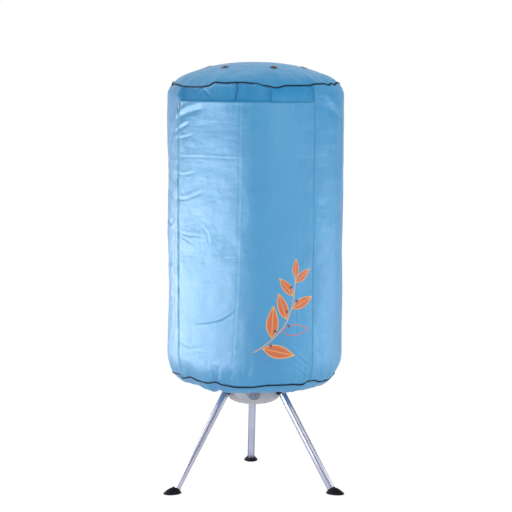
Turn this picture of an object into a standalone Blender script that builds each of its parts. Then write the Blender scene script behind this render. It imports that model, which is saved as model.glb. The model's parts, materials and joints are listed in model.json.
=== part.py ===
"""Portable clothes dryer: a nylon drying drum on a mast, over a fan heater on a tripod.

Metres, +Z up. The origin is on the floor under the middle of the dryer's box. The front is -Y.
An azimuth is the angle round the mast, counted from the front towards +X.
"""

import math

import bmesh
import bpy
from mathutils import Matrix, Vector

# Fits and facets
GAP = 0.0003
SEAM_CLEARANCE = 0.0008
OVERRUN = 0.004
MERGE = 0.00001
ROUND_STEPS = 32
TUBE_STEPS = 16
SMALL_STEPS = 10
ARC_STEPS = 4
SHARP_ANGLE = math.radians(35)
QUARTER_TURN = math.radians(90)
FULL_TURN = math.radians(360)

# Base housing, its lower bowl and its upper drum
BASE_BOTTOM = 0.285
BOWL_RADIUS = 0.094
BOWL_FLAT_RADIUS = 0.030
BOWL_HEIGHT = 0.087
BOWL_CURVE_HEIGHT = 0.032
BASE_WALL = 0.003
DRUM_RADIUS = 0.120
DRUM_HEIGHT = 0.0477
DRUM_CHAMFER = 0.004
FAN_INLET_RADIUS = 0.055
INTAKE_SLOT_COUNT = 10
INTAKE_SLOT_WIDTH = 0.005
INTAKE_INNER_RADIUS = 0.016
INTAKE_OUTER_RADIUS = 0.050
BOWL_WALL_LOW = BASE_BOTTOM + BOWL_CURVE_HEIGHT
BOWL_TOP = BASE_BOTTOM + BOWL_HEIGHT
DRUM_BOTTOM = BOWL_TOP + GAP
DRUM_TOP = DRUM_BOTTOM + DRUM_HEIGHT

# Cover
CLOTH = 0.0015
COVER_RADIUS = 0.300
COVER_TOP = 1.4605
ROOF_DROP = 0.0755
TOP_SEAM_INSET = 0.017
SHOULDER_DROP = 0.040
DOOR_TOP_DROP = 0.014
TAPER_RISE = 0.084
BOTTOM_SEAM_INSET = 0.0196
BOTTOM_SEAM_RISE = 0.006
SKIRT_LIP_INSET = 0.060
SKIRT_DROP = 0.0235
HEM_RISE = 0.0077
HEM_CORD_RADIUS = 0.003
PIPING_RADIUS = 0.00225
OUTLINE_STEPS = 24
COVER_COLUMNS = 60
WALL_ROWS = 12
HEADER_ROWS = 3
ROOF_ROWS = 6
SKIRT_ROWS = 5
TOP_SEAM_RADIUS = COVER_RADIUS - TOP_SEAM_INSET
TOP_SEAM_HEIGHT = COVER_TOP - ROOF_DROP
SHOULDER_HEIGHT = TOP_SEAM_HEIGHT - SHOULDER_DROP
DOOR_TOP = SHOULDER_HEIGHT - DOOR_TOP_DROP
HEM_HEIGHT = DRUM_BOTTOM + HEM_RISE
HEM_CORD_CENTRE = DRUM_RADIUS + GAP + HEM_CORD_RADIUS
HEM_RADIUS = HEM_CORD_CENTRE + HEM_CORD_RADIUS + GAP
BOTTOM_SEAM_RADIUS = COVER_RADIUS - BOTTOM_SEAM_INSET
BOTTOM_SEAM_HEIGHT = HEM_HEIGHT + BOTTOM_SEAM_RISE
TAPER_HEIGHT = BOTTOM_SEAM_HEIGHT + TAPER_RISE
SKIRT_LIP_RADIUS = COVER_RADIUS - SKIRT_LIP_INSET
SKIRT_LIP_HEIGHT = BOTTOM_SEAM_HEIGHT - SKIRT_DROP

# The roof's fall, as shares of its drop that grow with powers of the radius
ROOF_FALL_SHARES = ((0.85, 2.3), (0.15, 14))

# Folds of the cover
SEAM_WAVE = 0.006
WAVE_FADE = 0.050
ROOF_WAVE_FADE = 0.100
PUCKER_DEPTH = 0.0035
PUCKER_REACH = 0.240
SKIRT_PUCKER_DEPTH = 0.004
HEADER_RECESS = 0.004
DRAPE_DEPTH = 0.002
SEAM_WAVE_SHARES = (
    (-75, 0.3), (-58, -1.0), (-42, -1.0), (-25, 0.8), (-5, 0.8), (13, -1.0), (28, 0.0), (42, 0.0),
    (57, 0.7), (80, 0.9), (120, -0.4), (160, 0.5), (200, -0.4), (240, 0.6), (285, 0.3),
)
PUCKER_WAVE_SHARES = ((7, 0.6, 0.4), (11, 0.4, 2.0))
DRAPE_WAVE_SHARES = ((3, 0.6, 1.1), (5, 0.4, 0.3))
SKIRT_WAVE_SHARES = ((15, 1.0, 0.5),)

# Where the cover's upright seams stand
ZIP_AZIMUTH = math.radians(-58.5)
HINGE_AZIMUTH = math.radians(39)
BACK_RIGHT_AZIMUTH = math.radians(120)
BACK_LEFT_AZIMUTH = math.radians(210)
STRAIGHT_SEAM_HALF_ANGLE = math.radians(7)
ZIP_TAPE_WIDTH = 0.008
ZIP_TAPE_HALF_ANGLE = ZIP_TAPE_WIDTH / 2 / COVER_RADIUS
GAP_HALF_ANGLE = GAP / 2 / COVER_RADIUS

# Zip slider
SLIDER_WIDTH = 0.006
SLIDER_HEIGHT = 0.011
SLIDER_THICKNESS = 0.003
SLIDER_DROP = 0.004
PULL_WIDTH = 0.005
PULL_LENGTH = 0.024
PULL_THICKNESS = 0.0014

# Vent eyelets
EYELET_COUNT = 6
EYELET_INSET = 0.118
EYELET_FIRST_AZIMUTH = math.radians(19.8)
EYELET_RADIUS = 0.0130
EYELET_BORE_RADIUS = 0.0062
EYELET_WALL = 0.0016
EYELET_FLANGE = 0.0012
EYELET_LIFT = 0.0007
EYELET_RING_RADIUS = TOP_SEAM_RADIUS - EYELET_INSET
EYELET_BARREL_RADIUS = EYELET_BORE_RADIUS + EYELET_WALL

# Tripod: each leg's axis runs from the floor to the top of the bowl
LEG_COUNT = 3
LEG_RADIUS = 0.0125
LEG_WALL = 0.0015
LEG_GROUND_RADIUS = 0.3137
LEG_TOP_RADIUS = 0.084548
LEG_END_HEIGHT = 0.0105
BUSH_WALL = 0.0037
BUSH_DEPTH = 0.045
BUSH_HEAD = 0.0015
BOSS_WALL = 0.0037
BOSS_DEPTH = 0.034
FOOT_OUTSET = 0.0063
FOOT_LENGTH = 0.066
FOOT_WIDTH = 0.050
FOOT_HEIGHT = 0.021
FOOT_RIM = 0.002
FOOT_COLLAR_WALL = 0.0027
FOOT_COLLAR_LOW_HEIGHT = 0.0090
FOOT_COLLAR_HEIGHT = 0.018
LEG_SPLAY = math.atan((LEG_GROUND_RADIUS - LEG_TOP_RADIUS) / BOWL_TOP)
BUSH_RADIUS = LEG_RADIUS + GAP + BUSH_WALL
BUSH_LOW_HEIGHT = BOWL_TOP - BUSH_DEPTH
BUSH_TOP_HEIGHT = BOWL_TOP - BUSH_RADIUS * math.sin(LEG_SPLAY) - BUSH_HEAD
BOSS_RADIUS = BUSH_RADIUS + GAP + BOSS_WALL
BOSS_LOW_HEIGHT = BOWL_TOP - BOSS_DEPTH
FOOT_CIRCLE_RADIUS = LEG_GROUND_RADIUS + FOOT_OUTSET
FOOT_COLLAR_RADIUS = LEG_RADIUS + GAP + FOOT_COLLAR_WALL
FOOT_REACH = FOOT_CIRCLE_RADIUS + FOOT_LENGTH / 2

# Blower
MOTOR_RADIUS = 0.028
MOTOR_LIFT = 0.030
MOTOR_LENGTH = 0.039
MOTOR_CHAMFER = 0.003
MOTOR_BORE_DEPTH = 0.012
SHAFT_RADIUS = 0.003
BRACKET_LIFT = 0.0055
BRACKET_THICKNESS = 0.003
BRACKET_RING = 0.008
BRACKET_ARM_WIDTH = 0.012
FAN_CLEARANCE = 0.0017
FAN_TIP_CLEARANCE = 0.019
FAN_HUB_RADIUS = 0.016
FAN_HUB_HEIGHT = 0.016
FAN_BLADE_COUNT = 7
FAN_BLADE_CHORD = 0.020
FAN_BLADE_THICKNESS = 0.002
FAN_BLADE_PITCH = math.radians(30)
MOTOR_LOW = BASE_BOTTOM + MOTOR_LIFT
MOTOR_TOP = MOTOR_LOW + MOTOR_LENGTH
BRACKET_LOW = MOTOR_LOW + BRACKET_LIFT
FAN_LOW = DRUM_BOTTOM + BASE_WALL + FAN_CLEARANCE
FAN_RADIUS = DRUM_RADIUS - BASE_WALL - FAN_TIP_CLEARANCE

# Heater
HEATER_CLEARANCE = 0.0035
HEATER_FRAME_THICKNESS = 0.003
HEATER_LENGTH = 0.120
HEATER_WIDTH = 0.060
HEATER_HEIGHT = 0.014
HEATER_CELL_COUNT = 7
HEATER_CELL_WIDTH = 0.011
HEATER_RIM = 0.006
CUTOUT_RADIUS = 0.008
CUTOUT_HEIGHT = 0.006
CUTOUT_CLEARANCE = 0.024
HEATER_FRAME_LOW = FAN_LOW + FAN_HUB_HEIGHT + HEATER_CLEARANCE
CUTOUT_OFFSET = HEATER_WIDTH / 2 + CUTOUT_CLEARANCE + CUTOUT_RADIUS

# Mast
MAST_RADIUS = 0.0125
MAST_WALL = 0.0015
MAST_JOINT_HEIGHT = 0.930
MAST_END_DROP = 0.0160
COUPLER_WALL = 0.003
COUPLER_HALF_LENGTH = 0.025
CAP_WALL = 0.0032
CAP_SKIRT = 0.020
CAP_CROWN = 0.006
MAST_END = COVER_TOP - MAST_END_DROP
COUPLER_RADIUS = MAST_RADIUS + GAP + COUPLER_WALL
CAP_RADIUS = MAST_RADIUS + GAP + CAP_WALL
CAP_LOW = MAST_END - CAP_SKIRT

# Hot-air outlet and mast socket
GRILLE_THICKNESS = 0.004
GRILLE_SLOT_COUNT = 16
GRILLE_SLOT_WIDTH = 0.006
GRILLE_HUB = 0.014
GRILLE_RIM = 0.014
SOCKET_WALL = 0.0092
SOCKET_FLOOR = 0.0032
SOCKET_DEPTH = 0.0215
GRILLE_LOW = DRUM_TOP + GAP
MAST_SEAT = GRILLE_LOW + SOCKET_FLOOR
SOCKET_RADIUS = MAST_RADIUS + GAP + SOCKET_WALL
SOCKET_TOP = MAST_SEAT + SOCKET_DEPTH
GRILLE_INNER_RADIUS = SOCKET_RADIUS + GRILLE_HUB
GRILLE_OUTER_RADIUS = DRUM_RADIUS - GRILLE_RIM

# Timer, its depths counted from the front of the bezel
TIMER_RISE = 0.049
BEZEL_RADIUS = 0.0265
BEZEL_RIM = 0.0035
BEZEL_PROUD = 0.0045
BEZEL_RECESS = 0.005
BEZEL_DEPTH = 0.0145
BEZEL_HOLE_CLEARANCE = 0.0015
TIMER_BODY_RADIUS = 0.021
TIMER_BODY_DEPTH = 0.028
TIMER_SHAFT_DEPTH = 0.012
KNOB_CLEARANCE = 0.0015
KNOB_SKIRT = 0.006
KNOB_DRAFT = 0.003
KNOB_PROUD = 0.006
KNOB_CAP = 0.002
KNOB_GRIP_WIDTH = 0.008
KNOB_GRIP_HEIGHT = 0.006
KNOB_GRIP_INSET = 0.0015
TIMER_HEIGHT = BASE_BOTTOM + TIMER_RISE
BEZEL_FRONT = BOWL_RADIUS + BEZEL_PROUD
BEZEL_FLOOR = BEZEL_FRONT - BEZEL_RECESS
BEZEL_BACK = BEZEL_FRONT - BEZEL_DEPTH
BEZEL_HOLE_RADIUS = SHAFT_RADIUS + BEZEL_HOLE_CLEARANCE
TIMER_BODY_BACK = BEZEL_BACK - TIMER_BODY_DEPTH
TIMER_SHAFT_BACK = BEZEL_BACK - TIMER_SHAFT_DEPTH
KNOB_RADIUS = BEZEL_RADIUS - BEZEL_RIM - KNOB_CLEARANCE
KNOB_CROWN_RADIUS = KNOB_RADIUS - KNOB_DRAFT
KNOB_FRONT = BEZEL_FRONT + KNOB_PROUD
KNOB_GRIP_LENGTH = 2 * (KNOB_CROWN_RADIUS - KNOB_GRIP_INSET)
TIMER_SHAFT_FRONT = KNOB_FRONT - KNOB_CAP

# Mains inlet
INLET_AZIMUTH = math.radians(90)
INLET_RISE = 0.055
INLET_FLANGE = 0.004
INLET_FLANGE_WIDTH = 0.004
INLET_BARREL_RADIUS = 0.008
INLET_BARREL_DEPTH = 0.014
INLET_BORE_RADIUS = 0.0035
INLET_HEIGHT = BASE_BOTTOM + INLET_RISE
INLET_FLANGE_RADIUS = INLET_BARREL_RADIUS + INLET_FLANGE_WIDTH
INLET_BARREL_BACK = BOWL_RADIUS - INLET_BARREL_DEPTH

# Hanging racks
ARMS_PER_RACK = 6
UPPER_RACK_DROP = 0.033
LOWER_RACK_HEIGHT = 0.680
HUB_RADIUS = 0.042
HUB_HALF_HEIGHT = 0.0105
HUB_SLOT_CLEARANCE = 0.0004
HUB_SLOT_ROOF = 0.003
HINGE_PIN_RADIUS = 0.002
HINGE_INSET = 0.008
ARM_TIP_CLEARANCE = 0.016
ARM_WIDTH = 0.007
ARM_HEIGHT = 0.009
ARM_EYE_RADIUS = 0.0065
ARM_TIP_DISC_RADIUS = 0.008
NOTCH_RADIUS = 0.006
NOTCH_COUNT = 3
NOTCH_DEPTH = 0.0025
NOTCH_SPACING = 0.060
UPPER_RACK_HEIGHT = TOP_SEAM_HEIGHT - UPPER_RACK_DROP
HUB_SLOT_TOP = HUB_HALF_HEIGHT - HUB_SLOT_ROOF
HINGE_RADIUS = HUB_RADIUS - HINGE_INSET
ARM_TIP_RADIUS = COVER_RADIUS - ARM_TIP_CLEARANCE

# Middle of the dryer's box, from the cover's front to the rear foot
AXIS_Y = (COVER_RADIUS - FOOT_REACH) / 2


def clear_scene():
    """Remove what the scene holds before the dryer is made."""
    for old in list(bpy.data.objects):
        bpy.data.objects.remove(old, do_unlink=True)


def new_collection(name):
    """Make a collection and link it to the scene."""
    collection = bpy.data.collections.new(name)
    bpy.context.scene.collection.children.link(collection)
    return collection


clear_scene()
PARTS = new_collection("clothes_dryer")
CUTTERS = new_collection("cutters")
MAST_AXIS = bpy.data.objects.new("mast_axis", None)
MAST_AXIS.location = (0, AXIS_Y, 0)
PARTS.objects.link(MAST_AXIS)


def finish(name, colour, roughness, metallic=0.0):
    """Make a plain material."""
    material = bpy.data.materials.new(name)
    material.use_nodes = True
    shader = material.node_tree.nodes["Principled BSDF"]
    shader.inputs["Base Color"].default_value = (*colour, 1.0)
    shader.inputs["Roughness"].default_value = roughness
    shader.inputs["Metallic"].default_value = metallic
    return material


NYLON = finish("nylon_blue", (0.13, 0.42, 0.66), 0.45)
PIPING = finish("piping_black", (0.02, 0.02, 0.03), 0.6)
ZIP_PLASTIC = finish("zip_turquoise", (0.05, 0.45, 0.55), 0.4)
ALUMINIUM = finish("leg_aluminium", (0.80, 0.80, 0.84), 0.28, 1.0)
RUBBER = finish("foot_rubber", (0.02, 0.02, 0.025), 0.7)
HOUSING = finish("housing_grey", (0.60, 0.58, 0.60), 0.45)
KNOB_GREY = finish("knob_grey", (0.22, 0.23, 0.27), 0.4)
BRASS = finish("eyelet_brass", (0.45, 0.25, 0.13), 0.35, 1.0)
STEEL = finish("plated_steel", (0.62, 0.62, 0.64), 0.35, 1.0)
CERAMIC = finish("heater_ceramic", (0.72, 0.66, 0.56), 0.6)
ARM_WHITE = finish("arm_white", (0.86, 0.86, 0.84), 0.4)
FAN_BLACK = finish("fan_black", (0.05, 0.05, 0.06), 0.5)


def outward(azimuth):
    """Unit vector away from the mast at an azimuth."""
    return Vector((math.sin(azimuth), -math.cos(azimuth), 0))


def facing(azimuth):
    """Turn about Z that takes +X to the outward direction."""
    return azimuth - QUARTER_TURN


def blend(start, end, share):
    """Value a share of the way from start to end."""
    return start + (end - start) * share


def ease_out(share):
    """Share that starts steep and ends level."""
    return 1 - (1 - share) ** 2


def place(name, mesh, material=None, location=(0, 0, 0), rotation=(0, 0, 0)):
    """Make an object of a mesh: a part where it has a material, else a cutter."""
    obj = bpy.data.objects.new(name, mesh)
    obj.location = location
    obj.rotation_euler = rotation
    obj.parent = MAST_AXIS
    if material is None:
        CUTTERS.objects.link(obj)
        obj.hide_render = True
        obj.display_type = "WIRE"
        return obj
    if not mesh.materials:
        mesh.materials.append(material)
    PARTS.objects.link(obj)
    return obj


def shade(mesh):
    """Shade a mesh smooth between its sharp edges."""
    mesh.shade_smooth()
    mesh.set_sharp_from_angle(angle=SHARP_ANGLE)


def solid_mesh(name, *builders):
    """Make a mesh of the solids that each builder adds to it."""
    work = bmesh.new()
    for build in builders:
        build(work)
    mesh = bpy.data.meshes.new(name)
    work.to_mesh(mesh)
    work.free()
    shade(mesh)
    return mesh


def box(low, high, matrix=None):
    """Builder of a box between two corners, moved by a matrix."""

    def build(work):
        size = Matrix.Diagonal((*(Vector(high) - Vector(low)), 1))
        middle = Matrix.Translation((Vector(low) + Vector(high)) / 2)
        bmesh.ops.create_cube(work, size=1, matrix=(matrix or Matrix()) @ middle @ size)

    return build


def rod(start, end, radius, steps=SMALL_STEPS):
    """Builder of a round bar between two points."""

    def build(work):
        run = Vector(end) - Vector(start)
        turn = run.to_track_quat("Z", "Y").to_matrix().to_4x4()
        middle = Matrix.Translation((Vector(start) + Vector(end)) / 2)
        bmesh.ops.create_cone(
            work, cap_ends=True, segments=steps, radius1=radius, radius2=radius, depth=run.length,
            matrix=middle @ turn,
        )

    return build


def hole(start, end, radius, steps=SMALL_STEPS):
    """Builder of a cutter between two points, whose flats lie outside a round piece of the radius."""
    return rod(start, end, radius / math.cos(math.pi / steps), steps)


def turned(name, outline, material=None, steps=ROUND_STEPS, closed=False, **placing):
    """Turn an outline of radius and height pairs about Z; a closed outline makes a ring."""
    mesh = bpy.data.meshes.new(name)
    count = len(outline)
    edges = [(i, i + 1) for i in range(count - 1)]
    if closed:
        edges.append((count - 1, 0))
    mesh.from_pydata([(radius, 0, height) for radius, height in outline], edges, [])
    obj = place(name, mesh, material, **placing)
    screw = obj.modifiers.new("turn", "SCREW")
    screw.steps = steps
    screw.render_steps = steps
    screw.use_merge_vertices = True
    screw.merge_threshold = MERGE
    screw.use_smooth_shade = True
    return obj


def quarter(centre, reach, start, end):
    """Points of an elliptic arc about a centre, from one angle to another."""
    points = []
    for i in range(ARC_STEPS + 1):
        angle = blend(start, end, i / ARC_STEPS)
        points.append((centre[0] + reach[0] * math.cos(angle), centre[1] + reach[1] * math.sin(angle)))
    return points


def combine(target, tool, operation):
    """Add a Boolean of a tool to a target."""
    boolean = target.modifiers.new(tool.name, "BOOLEAN")
    boolean.operation = operation
    boolean.object = tool


def cut(target, *tools):
    """Cut tools out of a target."""
    for tool in tools:
        combine(target, tool, "DIFFERENCE")


def join(target, *tools):
    """Join tools to a target as one solid."""
    for tool in tools:
        combine(target, tool, "UNION")


def baked(obj):
    """Take the finished mesh of an object and remove the object."""
    bpy.context.view_layer.update()
    evaluated = obj.evaluated_get(bpy.context.evaluated_depsgraph_get())
    mesh = bpy.data.meshes.new_from_object(evaluated)
    bpy.data.objects.remove(obj, do_unlink=True)
    shade(mesh)
    return mesh


def tube_mesh(name, radius, wall, low, high, material, steps=TUBE_STEPS):
    """Mesh of a straight tube, open at both ends."""
    ring = [(radius, high), (radius, low), (radius - wall, low), (radius - wall, high)]
    return baked(turned(name, ring, material, steps, closed=True))


# Cover

def roof_fall(t):
    """How far the roof has fallen at a share of its radius."""
    return ROOF_DROP * sum(share * t ** power for share, power in ROOF_FALL_SHARES)


def roof_slope(t):
    """The roof's angle to the level at a share of its radius."""
    rise = sum(share * power * t ** (power - 1) for share, power in ROOF_FALL_SHARES)
    return math.atan(ROOF_DROP / TOP_SEAM_RADIUS * rise)


class CoverOutline:
    """The cover's outer line in a plane through the mast, measured along the cloth from its top."""

    def __init__(self):
        self.points = []
        self.marks = {}
        for mark, stretch in self.stretches():
            for i in range(OUTLINE_STEPS + 1):
                self.points.append(stretch(i / OUTLINE_STEPS))
            self.marks[mark] = len(self.points) - 1
        self.lengths = [0.0]
        for before, after in zip(self.points, self.points[1:]):
            step = math.hypot(after[0] - before[0], after[1] - before[1])
            self.lengths.append(self.lengths[-1] + step)

    @staticmethod
    def stretches():
        """The outline's stretches, each named for the mark at its end."""
        return (
            ("top_seam", lambda t: (TOP_SEAM_RADIUS * t, COVER_TOP - roof_fall(t))),
            ("shoulder", lambda t: (
                blend(TOP_SEAM_RADIUS, COVER_RADIUS, ease_out(t)),
                blend(TOP_SEAM_HEIGHT, SHOULDER_HEIGHT, t))),
            ("door_top", lambda t: (COVER_RADIUS, blend(SHOULDER_HEIGHT, DOOR_TOP, t))),
            ("taper", lambda t: (COVER_RADIUS, blend(DOOR_TOP, TAPER_HEIGHT, t))),
            ("bottom_seam", lambda t: (
                blend(COVER_RADIUS, BOTTOM_SEAM_RADIUS, t ** 2),
                blend(TAPER_HEIGHT, BOTTOM_SEAM_HEIGHT, t))),
            ("lip", lambda t: (
                blend(BOTTOM_SEAM_RADIUS, SKIRT_LIP_RADIUS, t),
                blend(BOTTOM_SEAM_HEIGHT, SKIRT_LIP_HEIGHT, ease_out(t)))),
            ("hem", lambda t: (
                blend(SKIRT_LIP_RADIUS, HEM_RADIUS, t),
                blend(SKIRT_LIP_HEIGHT, HEM_HEIGHT, t ** 2))),
        )

    def distance(self, mark):
        """Length of cloth from the top to a mark."""
        return self.lengths[self.marks[mark]]

    def at(self, distance):
        """Radius and height at a distance along the cloth."""
        last = len(self.points) - 1
        i = next((k for k in range(1, last) if self.lengths[k] >= distance), last)
        step = self.lengths[i] - self.lengths[i - 1]
        share = (distance - self.lengths[i - 1]) / step if step else 0
        return tuple(blend(a, b, share) for a, b in zip(self.points[i - 1], self.points[i]))


OUTLINE = CoverOutline()
TOP_SEAM = OUTLINE.distance("top_seam")
HEADER_END = OUTLINE.distance("door_top")
BOTTOM_SEAM = OUTLINE.distance("bottom_seam")
HEM = OUTLINE.distance("hem")
PIPING_ROOM = PIPING_RADIUS + SEAM_CLEARANCE


def seam_rise(azimuth):
    """How far the top seam rises or dips at an azimuth."""
    degrees = math.degrees(azimuth)
    first = SEAM_WAVE_SHARES[0][0]
    degrees = first + (degrees - first) % math.degrees(FULL_TURN)
    for (start, low), (end, high) in zip(SEAM_WAVE_SHARES, SEAM_WAVE_SHARES[1:]):
        if degrees <= end:
            share = (degrees - start) / (end - start)
            return SEAM_WAVE * blend(low, high, (1 - math.cos(math.pi * share)) / 2)
    return 0.0


def bump(distance, reach):
    """Share that swells soon after zero and is gone at the reach."""
    if not 0 < distance < reach:
        return 0.0
    return math.sin(math.pi * math.sqrt(distance / reach)) ** 2


def waves(azimuth, wave_shares):
    """Sum of waves round the drum, each a count, a share and a phase."""
    return sum(share * math.sin(count * azimuth + phase) for count, share, phase in wave_shares)


def away_from_seams(azimuth):
    """Share that is zero at the zip and at the hinge seam and one away from them."""
    share = 1.0
    for seam in (ZIP_AZIMUTH, HINGE_AZIMUTH):
        apart = (azimuth - seam + math.pi) % FULL_TURN - math.pi
        share *= 1 - math.exp(-((apart / STRAIGHT_SEAM_HALF_ANGLE) ** 2))
    return share


def cover_point(azimuth, distance, recess=0.0):
    """Point of the cover's outer face at an azimuth and a distance along the cloth."""
    radius, height = OUTLINE.at(distance)
    from_seam = abs(distance - TOP_SEAM)
    fade = WAVE_FADE if distance > TOP_SEAM else ROOF_WAVE_FADE
    height += seam_rise(azimuth) * max(0.0, 1 - from_seam / fade)
    calm = away_from_seams(azimuth)
    if distance < TOP_SEAM:
        height += PUCKER_DEPTH * waves(azimuth, PUCKER_WAVE_SHARES) * bump(from_seam, ROOF_WAVE_FADE)
    elif distance < BOTTOM_SEAM:
        puckers = bump(from_seam, PUCKER_REACH) + bump(BOTTOM_SEAM - distance, PUCKER_REACH)
        drape = math.sin(math.pi * (distance - TOP_SEAM) / (BOTTOM_SEAM - TOP_SEAM))
        radius += calm * PUCKER_DEPTH * puckers * waves(azimuth, PUCKER_WAVE_SHARES)
        radius += calm * DRAPE_DEPTH * drape * waves(azimuth, DRAPE_WAVE_SHARES)
    else:
        share = (distance - BOTTOM_SEAM) / (HEM - BOTTOM_SEAM)
        height -= SKIRT_PUCKER_DEPTH * math.sin(math.pi * share) * waves(azimuth, SKIRT_WAVE_SHARES)
    return outward(azimuth) * (radius - recess) + Vector((0, 0, height))


def cloth(name, azimuths, distances, rows, recess=0.0, hinge=None, crowd_ends=False):
    """Panel of the cover between two azimuths and two distances along the cloth, low one first."""
    columns = max(1, round(COVER_COLUMNS * (azimuths[1] - azimuths[0]) / FULL_TURN))
    whole = azimuths[1] - azimuths[0] == FULL_TURN
    inset = 0.0 if whole else GAP_HALF_ANGLE
    work = bmesh.new()
    bmesh.ops.create_grid(work, x_segments=columns, y_segments=rows, size=1)
    for vert in work.verts:
        across = (vert.co.x + 1) / 2
        along = (vert.co.y + 1) / 2
        if crowd_ends:
            along = (1 - math.cos(math.pi * along)) / 2
        azimuth = blend(azimuths[0] + inset, azimuths[1] - inset, across)
        vert.co = cover_point(azimuth, blend(distances[0], distances[1], along), recess)
        if hinge:
            vert.co -= Vector(hinge)
    bmesh.ops.remove_doubles(work, verts=work.verts, dist=MERGE)
    mesh = bpy.data.meshes.new(name)
    work.to_mesh(mesh)
    work.free()
    mesh.shade_smooth()
    panel = place(name, mesh, NYLON, location=hinge or (0, 0, 0))
    shell = panel.modifiers.new("cloth", "SOLIDIFY")
    shell.thickness = CLOTH
    shell.offset = -1
    return panel


def piping(name, distance):
    """Corded seam round the whole cover at a distance along the cloth."""
    curve = bpy.data.curves.new(name, "CURVE")
    curve.dimensions = "3D"
    curve.bevel_depth = PIPING_RADIUS
    curve.bevel_resolution = 1
    line = curve.splines.new("POLY")
    line.points.add(COVER_COLUMNS - 1)
    for i, point in enumerate(line.points):
        point.co = (*cover_point(i * FULL_TURN / COVER_COLUMNS, distance), 1)
    line.use_cyclic_u = True
    curve.materials.append(PIPING)
    obj = bpy.data.objects.new(name, curve)
    obj.parent = MAST_AXIS
    PARTS.objects.link(obj)


def make_wall():
    """The drum's wall: three fixed panels, the header over the door, and the two corded seams."""
    wall = (BOTTOM_SEAM - PIPING_ROOM, TOP_SEAM + PIPING_ROOM)
    zip_left = ZIP_AZIMUTH - ZIP_TAPE_HALF_ANGLE
    fixed = (
        ("cover_side_right", HINGE_AZIMUTH, BACK_RIGHT_AZIMUTH),
        ("cover_back", BACK_RIGHT_AZIMUTH, BACK_LEFT_AZIMUTH),
        ("cover_side_left", BACK_LEFT_AZIMUTH, zip_left + FULL_TURN),
    )
    for name, start, end in fixed:
        cloth(name, (start, end), wall, WALL_ROWS, crowd_ends=True)
    header = (HEADER_END - GAP / 2, TOP_SEAM + PIPING_ROOM)
    cloth("cover_header", (zip_left, HINGE_AZIMUTH), header, HEADER_ROWS, recess=HEADER_RECESS)
    piping("piping_top", TOP_SEAM)
    piping("piping_bottom", BOTTOM_SEAM)


def make_door():
    """The front panel, with its origin on the seam that it swings about."""
    hinge = outward(HINGE_AZIMUTH) * COVER_RADIUS
    span = (ZIP_AZIMUTH + ZIP_TAPE_HALF_ANGLE, HINGE_AZIMUTH)
    run = (BOTTOM_SEAM - PIPING_ROOM, HEADER_END + GAP / 2)
    cloth("cover_door", span, run, WALL_ROWS, hinge=hinge, crowd_ends=True)


def make_zip():
    """The zip's tape between the door and the left panel, and the slider at its top."""
    span = (ZIP_AZIMUTH - ZIP_TAPE_HALF_ANGLE, ZIP_AZIMUTH + ZIP_TAPE_HALF_ANGLE)
    tape = cloth("zip_tape", span, (BOTTOM_SEAM - PIPING_ROOM, HEADER_END + GAP / 2), WALL_ROWS)
    tape.data.materials[0] = ZIP_PLASTIC
    top = DOOR_TOP - SLIDER_DROP
    low = top - SLIDER_HEIGHT
    body = box((0, -SLIDER_WIDTH / 2, low), (SLIDER_THICKNESS, SLIDER_WIDTH / 2, top))
    mesh = solid_mesh("zip_slider", body)
    pull_low = low - PULL_LENGTH
    pull = solid_mesh(
        "slider_pull",
        box(
            (SLIDER_THICKNESS / 2, -PULL_WIDTH / 2, pull_low),
            (SLIDER_THICKNESS / 2 + PULL_THICKNESS, PULL_WIDTH / 2, top - SLIDER_HEIGHT / 2),
        ),
    )
    placing = {
        "location": outward(ZIP_AZIMUTH) * (COVER_RADIUS + GAP),
        "rotation": (0, 0, facing(ZIP_AZIMUTH)),
    }
    slider = place("zip_slider", mesh, STEEL, **placing)
    join(slider, place("slider_pull", pull, **placing))


def make_roof():
    """The domed roof, with its ring of vent eyelets, each square to the cloth."""
    roof = cloth("cover_roof", (0, FULL_TURN), (TOP_SEAM - PIPING_ROOM, 0), ROOF_ROWS)
    flange = EYELET_LIFT + EYELET_FLANGE
    ring = [
        (EYELET_BORE_RADIUS, flange), (EYELET_RADIUS - EYELET_FLANGE / 2, flange),
        (EYELET_RADIUS, EYELET_LIFT + EYELET_FLANGE / 2), (EYELET_RADIUS, EYELET_LIFT),
        (EYELET_BARREL_RADIUS, EYELET_LIFT), (EYELET_BARREL_RADIUS, -CLOTH - EYELET_FLANGE),
        (EYELET_BORE_RADIUS, -CLOTH - EYELET_FLANGE),
    ]
    ring_mesh = baked(turned("eyelet_ring", ring, BRASS, SMALL_STEPS, closed=True))
    slope = roof_slope(EYELET_RING_RADIUS / TOP_SEAM_RADIUS)
    height = COVER_TOP - roof_fall(EYELET_RING_RADIUS / TOP_SEAM_RADIUS)
    for i in range(EYELET_COUNT):
        azimuth = EYELET_FIRST_AZIMUTH + i * FULL_TURN / EYELET_COUNT
        placing = {
            "location": outward(azimuth) * EYELET_RING_RADIUS + Vector((0, 0, height)),
            "rotation": (0, slope, facing(azimuth)),
        }
        place(f"roof_eyelet_{i + 1}", ring_mesh, BRASS, **placing)
        opening = hole((0, 0, -OVERRUN), (0, 0, OVERRUN), EYELET_BARREL_RADIUS + GAP)
        cut(roof, place(f"eyelet_hole_{i + 1}", solid_mesh("eyelet_hole", opening), **placing))


def make_skirt():
    """The bottom panel and the elastic hem that grips the base."""
    cloth("cover_skirt", (0, FULL_TURN), (HEM, BOTTOM_SEAM + PIPING_ROOM), SKIRT_ROWS)
    ring = []
    for i in range(SMALL_STEPS // 2):
        angle = -i * FULL_TURN / (SMALL_STEPS // 2)
        ring.append((
            HEM_CORD_CENTRE + HEM_CORD_RADIUS * math.cos(angle),
            HEM_HEIGHT + HEM_CORD_RADIUS * math.sin(angle),
        ))
    turned("skirt_hem", ring, PIPING, closed=True)


# Tripod

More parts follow.
